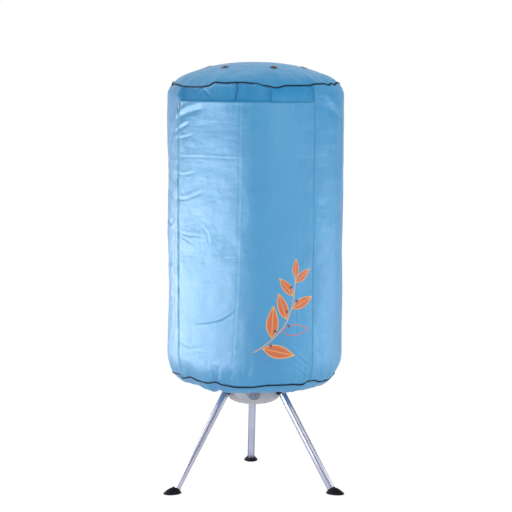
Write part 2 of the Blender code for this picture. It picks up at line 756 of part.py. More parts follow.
def leg_point(height):
    """Point of a leg's axis at a height, in the plane where +X is outward."""
    return Vector((LEG_GROUND_RADIUS - height * math.tan(LEG_SPLAY), 0, height))


def leg_azimuths():
    """One leg to the rear and two to the front."""
    return [math.pi + i * FULL_TURN / LEG_COUNT for i in range(LEG_COUNT)]


def sleeve(name, outer, inner, low_height, high_height, material):
    """Mesh of a tube along a leg's axis between two heights."""
    run = leg_point(high_height) - leg_point(low_height)
    mesh = tube_mesh(name, outer, outer - inner, 0, run.length, material)
    mesh.transform(Matrix.Translation(leg_point(low_height)) @ run.to_track_quat("Z", "Y").to_matrix().to_4x4())
    return mesh


def foot_mesh():
    """Mesh of an oval rubber foot with a collar square to its leg."""
    reach = FOOT_LENGTH / 2
    dome = quarter((0, FOOT_RIM), (reach, FOOT_HEIGHT - FOOT_RIM), QUARTER_TURN, 0) + [(reach, 0), (0, 0)]
    mesh = baked(turned("foot_dome", dome, RUBBER, TUBE_STEPS))
    mesh.transform(Matrix.Diagonal((1, FOOT_WIDTH / FOOT_LENGTH, 1, 1)))
    mesh.transform(Matrix.Translation((FOOT_CIRCLE_RADIUS, 0, 0)))
    foot = place("foot_blank", mesh, RUBBER)
    collar = rod(leg_point(FOOT_COLLAR_LOW_HEIGHT), leg_point(FOOT_COLLAR_HEIGHT), FOOT_COLLAR_RADIUS, TUBE_STEPS)
    join(foot, place("foot_collar", solid_mesh("foot_collar", collar)))
    along = (leg_point(LEG_END_HEIGHT) - leg_point(0)).normalized()
    bottom = leg_point(LEG_END_HEIGHT) - along * GAP
    bore = hole(bottom, leg_point(FOOT_HEIGHT + LEG_RADIUS + OVERRUN), LEG_RADIUS + GAP, TUBE_STEPS)
    cut(foot, place("foot_bore", solid_mesh("foot_bore", bore)))
    return baked(foot)


def make_tripod():
    """Three legs, each a tube with a foot below and a plug-in bush above."""
    leg_top = BUSH_TOP_HEIGHT - GAP
    meshes = (
        ("leg_tube", ALUMINIUM, sleeve(
            "leg_tube", LEG_RADIUS, LEG_RADIUS - LEG_WALL, LEG_END_HEIGHT, leg_top, ALUMINIUM)),
        ("leg_bush", RUBBER, sleeve(
            "leg_bush", BUSH_RADIUS, LEG_RADIUS + GAP, BUSH_LOW_HEIGHT, BUSH_TOP_HEIGHT, RUBBER)),
        ("leg_foot", RUBBER, foot_mesh()),
    )
    for i, azimuth in enumerate(leg_azimuths()):
        for name, material, mesh in meshes:
            place(f"{name}_{i + 1}", mesh, material, rotation=(0, 0, facing(azimuth)))


# Base

def radial_slots(name, count, width, inner, outer, low, high):
    """Cutter of slots that run outward from the mast."""
    boxes = []
    for i in range(count):
        turn = Matrix.Rotation((i + 1 / 2) * FULL_TURN / count, 4, "Z")
        boxes.append(box((inner, -width / 2, low), (outer, width / 2, high), turn))
    return place(name, solid_mesh(name, *boxes))


def make_bowl():
    """The lower housing, with its leg bosses, timer opening, inlet hole and air slots."""
    reach = (BOWL_RADIUS - BOWL_FLAT_RADIUS, BOWL_WALL_LOW - BASE_BOTTOM)
    inner_reach = (reach[0] - BASE_WALL, reach[1] - BASE_WALL)
    centre = (BOWL_FLAT_RADIUS, BOWL_WALL_LOW)
    outline = [(0, BASE_BOTTOM + BASE_WALL)] + quarter(centre, inner_reach, -QUARTER_TURN, 0)
    outline += [(BOWL_RADIUS - BASE_WALL, BOWL_TOP), (BOWL_RADIUS, BOWL_TOP)]
    outline += quarter(centre, reach, 0, -QUARTER_TURN) + [(0, BASE_BOTTOM)]
    bowl = turned("base_bowl", outline, HOUSING)
    rods = []
    holes = []
    for azimuth in leg_azimuths():
        turn = Matrix.Rotation(facing(azimuth), 4, "Z")
        along = (leg_point(BUSH_TOP_HEIGHT) - leg_point(BUSH_LOW_HEIGHT)).normalized()
        rods.append(rod(turn @ leg_point(BOSS_LOW_HEIGHT), turn @ leg_point(DRUM_TOP), BOSS_RADIUS, TUBE_STEPS))
        top = leg_point(BUSH_TOP_HEIGHT) + along * GAP
        holes.append(hole(turn @ leg_point(0), turn @ top, BUSH_RADIUS + GAP, TUBE_STEPS))
    join(bowl, place("leg_bosses", solid_mesh("leg_bosses", *rods)))
    lid = box((-DRUM_RADIUS, -DRUM_RADIUS, BOWL_TOP), (DRUM_RADIUS, DRUM_RADIUS, COVER_TOP))
    timer_hole = hole(
        (0, -BEZEL_FRONT - OVERRUN, TIMER_HEIGHT), (0, -BEZEL_BACK + OVERRUN, TIMER_HEIGHT),
        BEZEL_RADIUS + GAP, ROUND_STEPS // 2)
    inlet = outward(INLET_AZIMUTH)
    up = Vector((0, 0, INLET_HEIGHT))
    inlet_hole = hole(
        inlet * (BOWL_RADIUS + OVERRUN) + up, inlet * INLET_BARREL_BACK + up, INLET_BARREL_RADIUS + GAP)
    cut(
        bowl,
        place("bowl_lid_cut", solid_mesh("bowl_lid_cut", lid)),
        place("bush_holes", solid_mesh("bush_holes", *holes)),
        place("timer_hole", solid_mesh("timer_hole", timer_hole)),
        place("inlet_hole", solid_mesh("inlet_hole", inlet_hole)),
        radial_slots(
            "intake_slots", INTAKE_SLOT_COUNT, INTAKE_SLOT_WIDTH, INTAKE_INNER_RADIUS,
            INTAKE_OUTER_RADIUS, BASE_BOTTOM - OVERRUN, BASE_BOTTOM + BASE_WALL + OVERRUN),
    )


def make_drum_housing():
    """The upper housing, whose floor takes the legs' loads and lets the fan draw air."""
    turned("base_drum", [
        (DRUM_RADIUS - BASE_WALL, DRUM_TOP), (DRUM_RADIUS, DRUM_TOP),
        (DRUM_RADIUS, DRUM_BOTTOM + DRUM_CHAMFER), (DRUM_RADIUS - DRUM_CHAMFER, DRUM_BOTTOM),
        (FAN_INLET_RADIUS, DRUM_BOTTOM), (FAN_INLET_RADIUS, DRUM_BOTTOM + BASE_WALL),
        (DRUM_RADIUS - BASE_WALL, DRUM_BOTTOM + BASE_WALL),
    ], HOUSING, closed=True)


def make_grille():
    """The hot-air outlet over the heater, with the socket that the mast stands in."""
    top = GRILLE_LOW + GRILLE_THICKNESS
    bore = MAST_RADIUS + GAP
    seat = MAST_SEAT - GAP
    grille = turned("outlet_grille", [
        (0, seat), (bore, seat), (bore, SOCKET_TOP), (SOCKET_RADIUS, SOCKET_TOP), (SOCKET_RADIUS, top),
        (DRUM_RADIUS, top), (DRUM_RADIUS, GRILLE_LOW), (0, GRILLE_LOW),
    ], HOUSING)
    cut(grille, radial_slots(
        "grille_slots", GRILLE_SLOT_COUNT, GRILLE_SLOT_WIDTH, GRILLE_INNER_RADIUS,
        GRILLE_OUTER_RADIUS, GRILLE_LOW - OVERRUN / 2, top + OVERRUN))


def make_blower():
    """The motor in its bracket, and the fan on its shaft."""
    bore = SHAFT_RADIUS + GAP
    turned("motor", [
        (0, MOTOR_TOP - MOTOR_BORE_DEPTH), (bore, MOTOR_TOP - MOTOR_BORE_DEPTH), (bore, MOTOR_TOP),
        (MOTOR_RADIUS - MOTOR_CHAMFER, MOTOR_TOP), (MOTOR_RADIUS, MOTOR_TOP - MOTOR_CHAMFER),
        (MOTOR_RADIUS, MOTOR_LOW + MOTOR_CHAMFER), (MOTOR_RADIUS - MOTOR_CHAMFER, MOTOR_LOW),
        (0, MOTOR_LOW),
    ], STEEL, ROUND_STEPS // 2)
    seat = MOTOR_RADIUS + GAP
    top = BRACKET_LOW + BRACKET_THICKNESS
    bracket = turned("motor_bracket", [
        (seat, top), (seat + BRACKET_RING, top), (seat + BRACKET_RING, BRACKET_LOW), (seat, BRACKET_LOW),
    ], STEEL, ROUND_STEPS // 2, closed=True)
    wall = (BOWL_RADIUS - BASE_WALL - GAP) * math.cos(math.pi / ROUND_STEPS)
    fall = (BOWL_WALL_LOW - BRACKET_LOW) / (BOWL_WALL_LOW - BASE_BOTTOM - BASE_WALL)
    wall -= (BOWL_RADIUS - BOWL_FLAT_RADIUS - BASE_WALL) * (1 - math.sqrt(1 - max(0.0, fall) ** 2))
    half = BRACKET_ARM_WIDTH / 2
    reach = math.sqrt(wall ** 2 - half ** 2)
    arms = []
    for azimuth in leg_azimuths():
        turn = Matrix.Rotation(facing(azimuth), 4, "Z")
        arms.append(box((seat + BRACKET_RING / 2, -half, BRACKET_LOW), (reach, half, top), turn))
    join(bracket, place("bracket_arms", solid_mesh("bracket_arms", *arms)))
    make_fan()


def make_fan():
    """The fan rotor over the inlet, and the shaft that carries it, both on the mast's axis."""
    top = FAN_LOW + FAN_HUB_HEIGHT
    bore = SHAFT_RADIUS + GAP
    fan = turned("fan_rotor", [
        (0, top), (FAN_HUB_RADIUS, top), (FAN_HUB_RADIUS, FAN_LOW), (bore, FAN_LOW),
        (bore, top - BASE_WALL), (0, top - BASE_WALL),
    ], FAN_BLACK, ROUND_STEPS // 2)
    middle = FAN_LOW + FAN_HUB_HEIGHT / 2
    blades = []
    for i in range(FAN_BLADE_COUNT):
        turn = Matrix.Rotation(i * FULL_TURN / FAN_BLADE_COUNT, 4, "Z") @ Matrix.Translation((0, 0, middle))
        tilt = turn @ Matrix.Rotation(FAN_BLADE_PITCH, 4, "X")
        blades.append(box(
            ((bore + FAN_HUB_RADIUS) / 2, -FAN_BLADE_CHORD / 2, -FAN_BLADE_THICKNESS / 2),
            (FAN_RADIUS, FAN_BLADE_CHORD / 2, FAN_BLADE_THICKNESS / 2), tilt))
    join(fan, place("fan_blades", solid_mesh("fan_blades", *blades)))
    shaft = rod(
        (0, 0, MOTOR_TOP - MOTOR_BORE_DEPTH + GAP), (0, 0, top - BASE_WALL - GAP), SHAFT_RADIUS)
    place("motor_shaft", solid_mesh("motor_shaft", shaft), STEEL)


def make_heater():
    """The ceramic heater in its frame over the fan, with the thermal cut-out beside it."""
    frame_top = HEATER_FRAME_LOW + HEATER_FRAME_THICKNESS
    frame_radius = DRUM_RADIUS - BASE_WALL - GAP
    frame = turned("heater_frame", [
        (0, frame_top), (frame_radius, frame_top), (frame_radius, HEATER_FRAME_LOW), (0, HEATER_FRAME_LOW),
    ], STEEL)
    half = (HEATER_LENGTH / 2, HEATER_WIDTH / 2)
    low = HEATER_FRAME_LOW
    high = low + HEATER_HEIGHT
    window = box(
        (-half[0] - GAP, -half[1] - GAP, low - OVERRUN / 2), (half[0] + GAP, half[1] + GAP, high))
    cut(frame, place("heater_window", solid_mesh("heater_window", window)))
    block = solid_mesh("heater_element", box((-half[0], -half[1], low), (half[0], half[1], high)))
    element = place("heater_element", block, CERAMIC)
    pitch = (HEATER_LENGTH - 2 * HEATER_RIM) / HEATER_CELL_COUNT
    cells = []
    for i in range(HEATER_CELL_COUNT):
        middle = -half[0] + HEATER_RIM + (i + 1 / 2) * pitch
        cells.append(box(
            (middle - HEATER_CELL_WIDTH / 2, -half[1] + HEATER_RIM, low - OVERRUN),
            (middle + HEATER_CELL_WIDTH / 2, half[1] - HEATER_RIM, high + OVERRUN)))
    cut(element, place("heater_cells", solid_mesh("heater_cells", *cells)))
    seat = Vector((0, CUTOUT_OFFSET, frame_top + GAP))
    button = rod(seat, seat + Vector((0, 0, CUTOUT_HEIGHT)), CUTOUT_RADIUS)
    place("thermal_cutout", solid_mesh("thermal_cutout", button), BRASS)


def make_timer():
    """The mechanical timer: bezel and body fixed in the bowl, shaft and knob on the joint's axis."""
    forward = {"location": (0, 0, TIMER_HEIGHT), "rotation": (QUARTER_TURN, 0, 0)}
    inner = BEZEL_RADIUS - BEZEL_RIM
    turned("timer_bezel", [
        (BEZEL_HOLE_RADIUS, BEZEL_FLOOR), (inner, BEZEL_FLOOR), (inner, BEZEL_FRONT),
        (BEZEL_RADIUS, BEZEL_FRONT), (BEZEL_RADIUS, BEZEL_BACK), (BEZEL_HOLE_RADIUS, BEZEL_BACK),
    ], HOUSING, ROUND_STEPS // 2, closed=True, **forward)
    body_front = BEZEL_BACK - GAP
    bore = SHAFT_RADIUS + GAP
    turned("timer_body", [
        (0, TIMER_SHAFT_BACK - GAP), (bore, TIMER_SHAFT_BACK - GAP), (bore, body_front),
        (TIMER_BODY_RADIUS, body_front), (TIMER_BODY_RADIUS, TIMER_BODY_BACK), (0, TIMER_BODY_BACK),
    ], KNOB_GREY, ROUND_STEPS // 2, **forward)
    shaft = rod((0, 0, TIMER_SHAFT_BACK), (0, 0, TIMER_SHAFT_FRONT - GAP), SHAFT_RADIUS)
    place("timer_shaft", solid_mesh("timer_shaft", shaft), STEEL, **forward)
    knob_back = BEZEL_FLOOR + GAP
    knob = turned("timer_knob", [
        (0, KNOB_FRONT), (KNOB_CROWN_RADIUS - BASE_WALL, KNOB_FRONT),
        (KNOB_CROWN_RADIUS, KNOB_FRONT - BASE_WALL), (KNOB_RADIUS, knob_back + KNOB_SKIRT),
        (KNOB_RADIUS, knob_back), (bore, knob_back), (bore, TIMER_SHAFT_FRONT), (0, TIMER_SHAFT_FRONT),
    ], KNOB_GREY, ROUND_STEPS // 2, **forward)
    grip = box(
        (-KNOB_GRIP_WIDTH / 2, -KNOB_GRIP_LENGTH / 2, TIMER_SHAFT_FRONT + GAP),
        (KNOB_GRIP_WIDTH / 2, KNOB_GRIP_LENGTH / 2, KNOB_FRONT + KNOB_GRIP_HEIGHT))
    join(knob, place("knob_grip", solid_mesh("knob_grip", grip), **forward))


def make_inlet():
    """The mains cable's gland, through the bowl's wall between the rear and the right leg."""
    flange_back = BOWL_RADIUS + GAP
    turned("mains_inlet", [
        (INLET_BORE_RADIUS, flange_back + INLET_FLANGE), (INLET_BARREL_RADIUS, flange_back + INLET_FLANGE),
        (INLET_FLANGE_RADIUS, flange_back + INLET_FLANGE / 2), (INLET_FLANGE_RADIUS, flange_back),
        (INLET_BARREL_RADIUS, flange_back), (INLET_BARREL_RADIUS, INLET_BARREL_BACK + GAP),
        (INLET_BORE_RADIUS, INLET_BARREL_BACK + GAP),
    ], RUBBER, TUBE_STEPS, closed=True, location=(0, 0, INLET_HEIGHT),
        rotation=(0, QUARTER_TURN, facing(INLET_AZIMUTH)))


# Mast and racks

def make_mast():
    """Two tubes end to end, the coupler over their joint, and the cap under the roof."""
    lower = (MAST_SEAT, MAST_JOINT_HEIGHT - GAP / 2)
    upper = (MAST_JOINT_HEIGHT + GAP / 2, MAST_END)
    for name, (low, high) in (("mast_lower", lower), ("mast_upper", upper)):
        place(name, tube_mesh(name, MAST_RADIUS, MAST_WALL, low, high, ALUMINIUM), ALUMINIUM)
    coupler = tube_mesh(
        "mast_coupler", COUPLER_RADIUS, COUPLER_RADIUS - MAST_RADIUS - GAP,
        MAST_JOINT_HEIGHT - COUPLER_HALF_LENGTH, MAST_JOINT_HEIGHT + COUPLER_HALF_LENGTH, ARM_WHITE)
    place("mast_coupler", coupler, ARM_WHITE)
    bore = MAST_RADIUS + GAP
    crown = COVER_TOP - CLOTH - GAP
    shoulder = crown - CAP_CROWN
    dome = quarter((0, shoulder), (CAP_RADIUS, CAP_CROWN), QUARTER_TURN, 0)
    turned("mast_cap", dome + [
        (CAP_RADIUS, CAP_LOW), (bore, CAP_LOW), (bore, MAST_END + GAP), (0, MAST_END + GAP),
    ], ARM_WHITE, TUBE_STEPS)


def hub_mesh():
    """Mesh of a rack hub about its own middle: slots that open down and out, each with a pin."""
    bore = MAST_RADIUS + GAP
    hub = turned("rack_hub", [
        (bore, HUB_HALF_HEIGHT), (HUB_RADIUS, HUB_HALF_HEIGHT),
        (HUB_RADIUS, -HUB_HALF_HEIGHT), (bore, -HUB_HALF_HEIGHT),
    ], ARM_WHITE, TUBE_STEPS * 2, closed=True)
    half = ARM_WIDTH / 2 + HUB_SLOT_CLEARANCE
    inner = HINGE_RADIUS - ARM_EYE_RADIUS - HUB_SLOT_CLEARANCE
    slots = []
    pins = []
    for i in range(ARMS_PER_RACK):
        turn = Matrix.Rotation(facing(i * FULL_TURN / ARMS_PER_RACK), 4, "Z")
        slots.append(box(
            (inner, -half, -HUB_HALF_HEIGHT - OVERRUN), (HUB_RADIUS + OVERRUN, half, HUB_SLOT_TOP), turn))
        side = Vector((0, half + HINGE_PIN_RADIUS, 0))
        at = Vector((HINGE_RADIUS, 0, 0))
        pins.append(rod(turn @ (at - side), turn @ (at + side), HINGE_PIN_RADIUS, SMALL_STEPS // 2))
    cut(hub, place("hub_slots", solid_mesh("hub_slots", *slots)))
    join(hub, place("hub_pins", solid_mesh("hub_pins", *pins)))
    return baked(hub)


def arm_mesh():
    """Mesh of a hanging arm, with its hinge's middle at the origin and its tip towards +X."""
    half = ARM_WIDTH / 2
    reach = ARM_TIP_RADIUS - HINGE_RADIUS - ARM_TIP_DISC_RADIUS
    bar = box((0, -half, -ARM_HEIGHT / 2), (reach, half, ARM_HEIGHT / 2))
    arm = place("arm_bar", solid_mesh("arm_bar", bar), ARM_WHITE)
    ends = solid_mesh(
        "arm_ends",
        rod((0, -half, 0), (0, half, 0), ARM_EYE_RADIUS),
        rod((reach, -half, 0), (reach, half, 0), ARM_TIP_DISC_RADIUS),
    )
    join(arm, place("arm_ends", ends))
    wide = half + OVERRUN
    holes = [hole((0, -wide, 0), (0, wide, 0), HINGE_PIN_RADIUS + GAP, SMALL_STEPS // 2 + 2)]
    for i in range(NOTCH_COUNT):
        at = (i + 1) * NOTCH_SPACING
        height = ARM_HEIGHT / 2 + NOTCH_RADIUS - NOTCH_DEPTH
        holes.append(rod((at, -wide, height), (at, wide, height), NOTCH_RADIUS, SMALL_STEPS // 2 + 2))
    cut(arm, place("arm_holes", solid_mesh("arm_holes", *holes)))
    return baked(arm)


def make_racks():
    """The two hubs and their arms, each arm with its origin on its hinge pin."""
    hub = hub_mesh()
    arm = arm_mesh()
    for rack, height in (("upper", UPPER_RACK_HEIGHT), ("lower", LOWER_RACK_HEIGHT)):
        place(f"rack_hub_{rack}", hub, ARM_WHITE, location=(0, 0, height))
        for i in range(ARMS_PER_RACK):
            azimuth = i * FULL_TURN / ARMS_PER_RACK
            place(
                f"rack_arm_{rack}_{i + 1}", arm, ARM_WHITE,
                location=outward(azimuth) * HINGE_RADIUS + Vector((0, 0, height)),
                rotation=(0, 0, facing(azimuth)),
            )


make_tripod()
make_bowl()
make_drum_housing()
make_grille()
make_blower()
make_heater()
make_timer()
make_inlet()
make_mast()
make_racks()
make_roof()
make_wall()
make_door()
make_zip()
make_skirt()
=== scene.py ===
"""Looks of a portable clothes dryer: a nylon drying drum on a mast, over a fan heater on a tripod.

Metres, +Z up. The origin is on the floor under the middle of the dryer's box, and the front is -Y.
An azimuth is the angle round the mast, counted from the front towards +X.
"""

import json
import logging
import math
from collections.abc import Callable, Iterable, Mapping, Sequence
from dataclasses import dataclass, field
from enum import Enum

import bpy
import numpy as np
from mathutils import Matrix, Vector

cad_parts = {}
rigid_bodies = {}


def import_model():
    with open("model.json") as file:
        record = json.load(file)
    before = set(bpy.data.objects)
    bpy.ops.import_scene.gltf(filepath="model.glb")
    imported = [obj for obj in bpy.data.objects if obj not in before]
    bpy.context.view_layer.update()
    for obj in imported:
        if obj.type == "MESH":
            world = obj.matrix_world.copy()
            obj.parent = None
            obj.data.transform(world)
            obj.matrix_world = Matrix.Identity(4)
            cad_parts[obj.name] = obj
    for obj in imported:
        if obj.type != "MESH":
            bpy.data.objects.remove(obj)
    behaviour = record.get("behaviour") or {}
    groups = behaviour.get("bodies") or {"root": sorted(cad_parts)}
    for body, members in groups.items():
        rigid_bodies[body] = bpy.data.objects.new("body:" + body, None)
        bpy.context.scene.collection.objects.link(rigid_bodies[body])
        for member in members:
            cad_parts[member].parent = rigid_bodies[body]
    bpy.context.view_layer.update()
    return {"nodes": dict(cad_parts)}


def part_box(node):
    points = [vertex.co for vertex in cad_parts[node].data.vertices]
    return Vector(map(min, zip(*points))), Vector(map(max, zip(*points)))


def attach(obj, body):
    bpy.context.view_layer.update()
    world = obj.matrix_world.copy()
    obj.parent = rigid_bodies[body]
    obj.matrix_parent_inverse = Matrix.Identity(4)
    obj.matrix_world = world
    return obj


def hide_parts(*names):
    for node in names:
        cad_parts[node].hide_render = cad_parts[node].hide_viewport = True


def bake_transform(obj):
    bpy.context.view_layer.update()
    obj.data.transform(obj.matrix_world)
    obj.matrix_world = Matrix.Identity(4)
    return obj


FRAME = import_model()

LOG = logging.getLogger("clothes_dryer")

Colour = tuple[float, float, float]
Place = tuple[float, float, float]
Pair = tuple[float, float]
Piece = bpy.types.Object
Array = np.ndarray
Profile = Sequence[Pair]

FULL_TURN = 2 * math.pi
MILLIMETRE = 0.001
MICROMETRE = MILLIMETRE * MILLIMETRE
AXIS = Vector((0.0, sum(corner.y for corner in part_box("mast_upper")) / 2, 0.0))


class Body(Enum):
    """The bodies that new pieces ride on."""

    FRAME = "dryer_frame"
    TIMER = "timer_control"
    DOOR = "door"
    SLIDER = "zip_pull"


class Slot(Enum):
    """The finishes that the record names."""

    NYLON = "nylon_blue"
    PIPING = "piping_black"
    ZIP = "zip_turquoise"
    ALUMINIUM = "leg_aluminium"
    RUBBER = "foot_rubber"
    HOUSING = "housing_grey"
    KNOB = "knob_grey"
    BRASS = "eyelet_brass"
    STEEL = "plated_steel"
    CERAMIC = "heater_ceramic"
    ARM = "arm_white"
    FAN = "fan_black"


class Held(Enum):
    """How a sheet of cloth is held."""

    HUNG = "hung"
    STRETCHED = "stretched"
    GATHERED = "gathered"


# Shader kit

def operation(kind: str, swapped: bool = False) -> Callable:
    """Method of a wire that adds a Math node of that kind, its values in turn or swapped."""

    def method(self: "Wire", *others: "Wire | float") -> "Wire":
        values = (self, *others)
        return self.graph.maths(kind, *(values[::-1] if swapped else values))

    return method


class Wire:
    """One output of a node, on which arithmetic adds Math nodes."""

    def __init__(self, graph: "Graph", socket: bpy.types.NodeSocket) -> None:
        """Hold an output socket of a graph."""
        self.graph = graph
        self.socket = socket

    __add__ = __radd__ = operation("ADD")
    __sub__ = operation("SUBTRACT")
    __rsub__ = operation("SUBTRACT", swapped=True)
    __mul__ = __rmul__ = operation("MULTIPLY")
    __truediv__ = operation("DIVIDE")
    __pow__ = operation("POWER")
    __abs__ = operation("ABSOLUTE")


class Graph:
    """The node tree of one material, and the few nodes that the finishes share."""

    def __init__(self, name: str) -> None:
        """Make a material of that name with a bare Principled shader."""
        self.material = bpy.data.materials.new(name)
        self.material.use_nodes = True
        self.tree = self.material.node_tree
        self.shader = self.tree.nodes["Principled BSDF"]

    @classmethod
    def of_world(cls, world: bpy.types.World) -> "Graph":
        """The graph of a world, whose shader is its background."""
        graph = cls.__new__(cls)
        graph.material, graph.tree = None, world.node_tree
        graph.shader = graph.tree.nodes["Background"]
        return graph

    def add(
        self,
        kind: str,
        settings: Mapping[str, object] | None = None,
        inputs: Mapping[str | int, object] | None = None,
        output: str | int = 0,
    ) -> Wire:
        """Add a node.

        Args:
            kind: The shader node's type.
            settings: Its properties, and a ramp's stops as pairs of place and colour.
            inputs: Values or wires, by the socket's name or number.
            output: The output that is wanted.

        Returns:
            The wire from that output.
        """
        node = self.tree.nodes.new(f"ShaderNode{kind}")
        for key, value in (settings or {}).items():
            if key == "stops":
                self.set_stops(node, value)
            else:
                setattr(node, key, value)
        for key, value in (inputs or {}).items():
            if isinstance(value, Wire):
                self.tree.links.new(value.socket, node.inputs[key])
            else:
                node.inputs[key].default_value = value
        return Wire(self, node.outputs[output])

    @staticmethod
    def set_stops(node: bpy.types.Node, stops: Sequence[tuple[float, Colour]]) -> None:
        """Give a colour ramp its stops."""
        elements = node.color_ramp.elements
        for element, (place, colour) in zip(elements, (stops[0], stops[-1])):
            element.position = place
            element.color = (*colour, 1.0)
        for place, colour in stops[1:-1]:
            elements.new(place).color = (*colour, 1.0)

    def maths(self, operation: str, *values: "Wire | float") -> Wire:
        """Add a Math node on values."""
        return self.add("Math", {"operation": operation}, dict(enumerate(values)))

    def vector(self, operation: str, first: Wire, second: object, output: str = "Vector") -> Wire:
        """Add a Vector Math node."""
        return self.add("VectorMath", {"operation": operation}, {0: first, 1: second}, output)

    def place(self) -> Wire:
        """Place on the piece, in metres."""
        return self.add("TexCoord", output="Object")

    def cloth(self) -> Wire:
        """Place on the cloth, in metres along its two directions."""
        return self.add("UVMap", {"uv_map": "cloth"})

    def split(self, vector: Wire) -> tuple[Wire, Wire, Wire]:
        """The three parts of a vector."""
        parts = self.add("SeparateXYZ", inputs={"Vector": vector})
        return tuple(Wire(self, socket) for socket in parts.socket.node.outputs)

    def noise(self, vector: Wire, scale: float, detail: float = 3.0, squash: Place = (1, 1, 1)) -> Wire:
        """Noise between 0 and 1, so many cells to the metre, stretched by a squash."""
        spread = self.vector("MULTIPLY", vector, squash)
        return self.add(
            "TexNoise", {"noise_dimensions": "3D"},
            {"Vector": spread, "Scale": scale, "Detail": detail, "Roughness": 0.55}, "Fac",
        )

    def span(self, value: Wire, low: float, high: float, start: float = 0.0, end: float = 1.0) -> Wire:
        """A value's place between two limits, eased, as a value between start and end."""
        return self.add(
            "MapRange", {"interpolation_type": "SMOOTHSTEP"},
            {"Value": value, "From Min": low, "From Max": high, "To Min": start, "To Max": end},
        )

    def mix(self, share: Wire, first: "Wire | Colour", second: "Wire | Colour") -> Wire:
        """A colour a share of the way from the first to the second."""
        colours = [c if isinstance(c, Wire) else (*c, 1.0) for c in (first, second)]
        return self.add(
            "Mix", {"data_type": "RGBA"}, {0: share, 6: colours[0], 7: colours[1]}, 2)

    def bump(self, height: Wire, depth: float, normal: Wire | None = None) -> Wire:
        """A normal raised by a height of that depth in metres."""
        inputs = {"Height": height, "Distance": depth, "Strength": 1.0}
        if normal is not None:
            inputs["Normal"] = normal
        return self.add("Bump", inputs=inputs)

    def dress(self, fixed: Mapping[str, object], **varying: Wire) -> bpy.types.Material:
        """Set what is the same all over, link what varies and hand over the finished material."""
        for key, value in fixed.items():
            self.shader.inputs[key].default_value = value
        sockets = {
            "base": "Base Color", "roughness": "Roughness", "metallic": "Metallic",
            "coat": "Coat Weight", "normal": "Normal",
        }
        for key, wire in varying.items():
            self.tree.links.new(wire.socket, self.shader.inputs[sockets[key]])
        return self.material


# Finishes

@dataclass(frozen=True)
class Nylon:
    """Satin nylon taffeta, calendered on its outer face, with a lockstitch beside each seam."""

    name: str = "nylon_taffeta"
    colour: Colour = (0.018, 0.31, 0.63)
    deep: Colour = (0.014, 0.27, 0.58)
    thread: Colour = (0.04, 0.36, 0.67)
    roughness: float = 0.4
    gloss: float = 0.9
    yarn: float = 0.0008
    yarn_depth: float = 0.00003
    wrinkle_depth: float = 0.0036
    crumple_depth: float = 0.0012
    stitch_offset: float = 0.0035
    stitch_length: float = 0.0032
    stitch_width: float = 0.0007
    stitch_depth: float = 0.0004

    def stitches(self, graph: Graph) -> Wire:
        """Mask of the stitches that run beside a panel's sewn edges."""
        edge = graph.add("Attribute", {"attribute_name": "edge"}, output="Fac")
        along = graph.add("Attribute", {"attribute_name": "along"}, output="Fac")
        line = graph.span(abs(edge - self.stitch_offset), self.stitch_width, self.stitch_width / 2)
        beat = graph.maths("FRACT", along / self.stitch_length)
        return line * graph.span(abs(beat - 0.5), 0.42, 0.34)

    def weave(self, graph: Graph, cloth: Wire) -> Wire:
        """Height of the plain weave, over and under."""
        u, v, _ = graph.split(graph.vector("MULTIPLY", cloth, (FULL_TURN / self.yarn,) * 3))
        return graph.maths("SINE", u) * graph.maths("SINE", v)

    def prints(self, graph: Graph, cloth: Wire, base: Wire) -> Wire:
        """Colour of the cloth with what is printed on it, which is nothing on a plain panel."""
        return base

    def material(self) -> bpy.types.Material:
        """Build the material."""
        graph = Graph(self.name)
        cloth = graph.cloth()
        place = graph.place()
        broad = graph.noise(place, 5.0, 4.0, (1, 1, 0.6))
        fine = graph.noise(cloth, 90.0, 3.0, (1, 0.25, 1))
        base = graph.mix(graph.span(broad, 0.35, 0.75), self.colour, self.deep)
        base = graph.mix(graph.span(fine, 0.45, 0.8) * 0.25, base, self.thread)
        stitches = self.stitches(graph)
        base = graph.mix(stitches * 0.55, base, self.deep)
        base = self.prints(graph, cloth, base)
        wrinkles = graph.noise(cloth, 9.0, 5.0, (0.7, 1.8, 1))
        crumple = graph.noise(cloth, 34.0, 5.0, (1, 0.8, 1))
        normal = graph.bump(wrinkles, self.wrinkle_depth)
        normal = graph.bump(crumple, self.crumple_depth, normal)
        normal = graph.bump(self.weave(graph, cloth), self.yarn_depth, normal)
        normal = graph.bump(1 - stitches, self.stitch_depth, normal)
        roughness = self.roughness + graph.span(crumple, 0.3, 0.7) * 0.08
        fixed = {"IOR": 1.6, "Specular IOR Level": self.gloss}
        return graph.dress(fixed, base=base, roughness=roughness, normal=normal)


@dataclass(frozen=True)
class Leaf:
    """One printed leaf: its middle on the cloth, its heading, half length, half width and fill."""

    middle: Pair
    heading: float
    reach: float
    breadth: float
    filled: bool = True


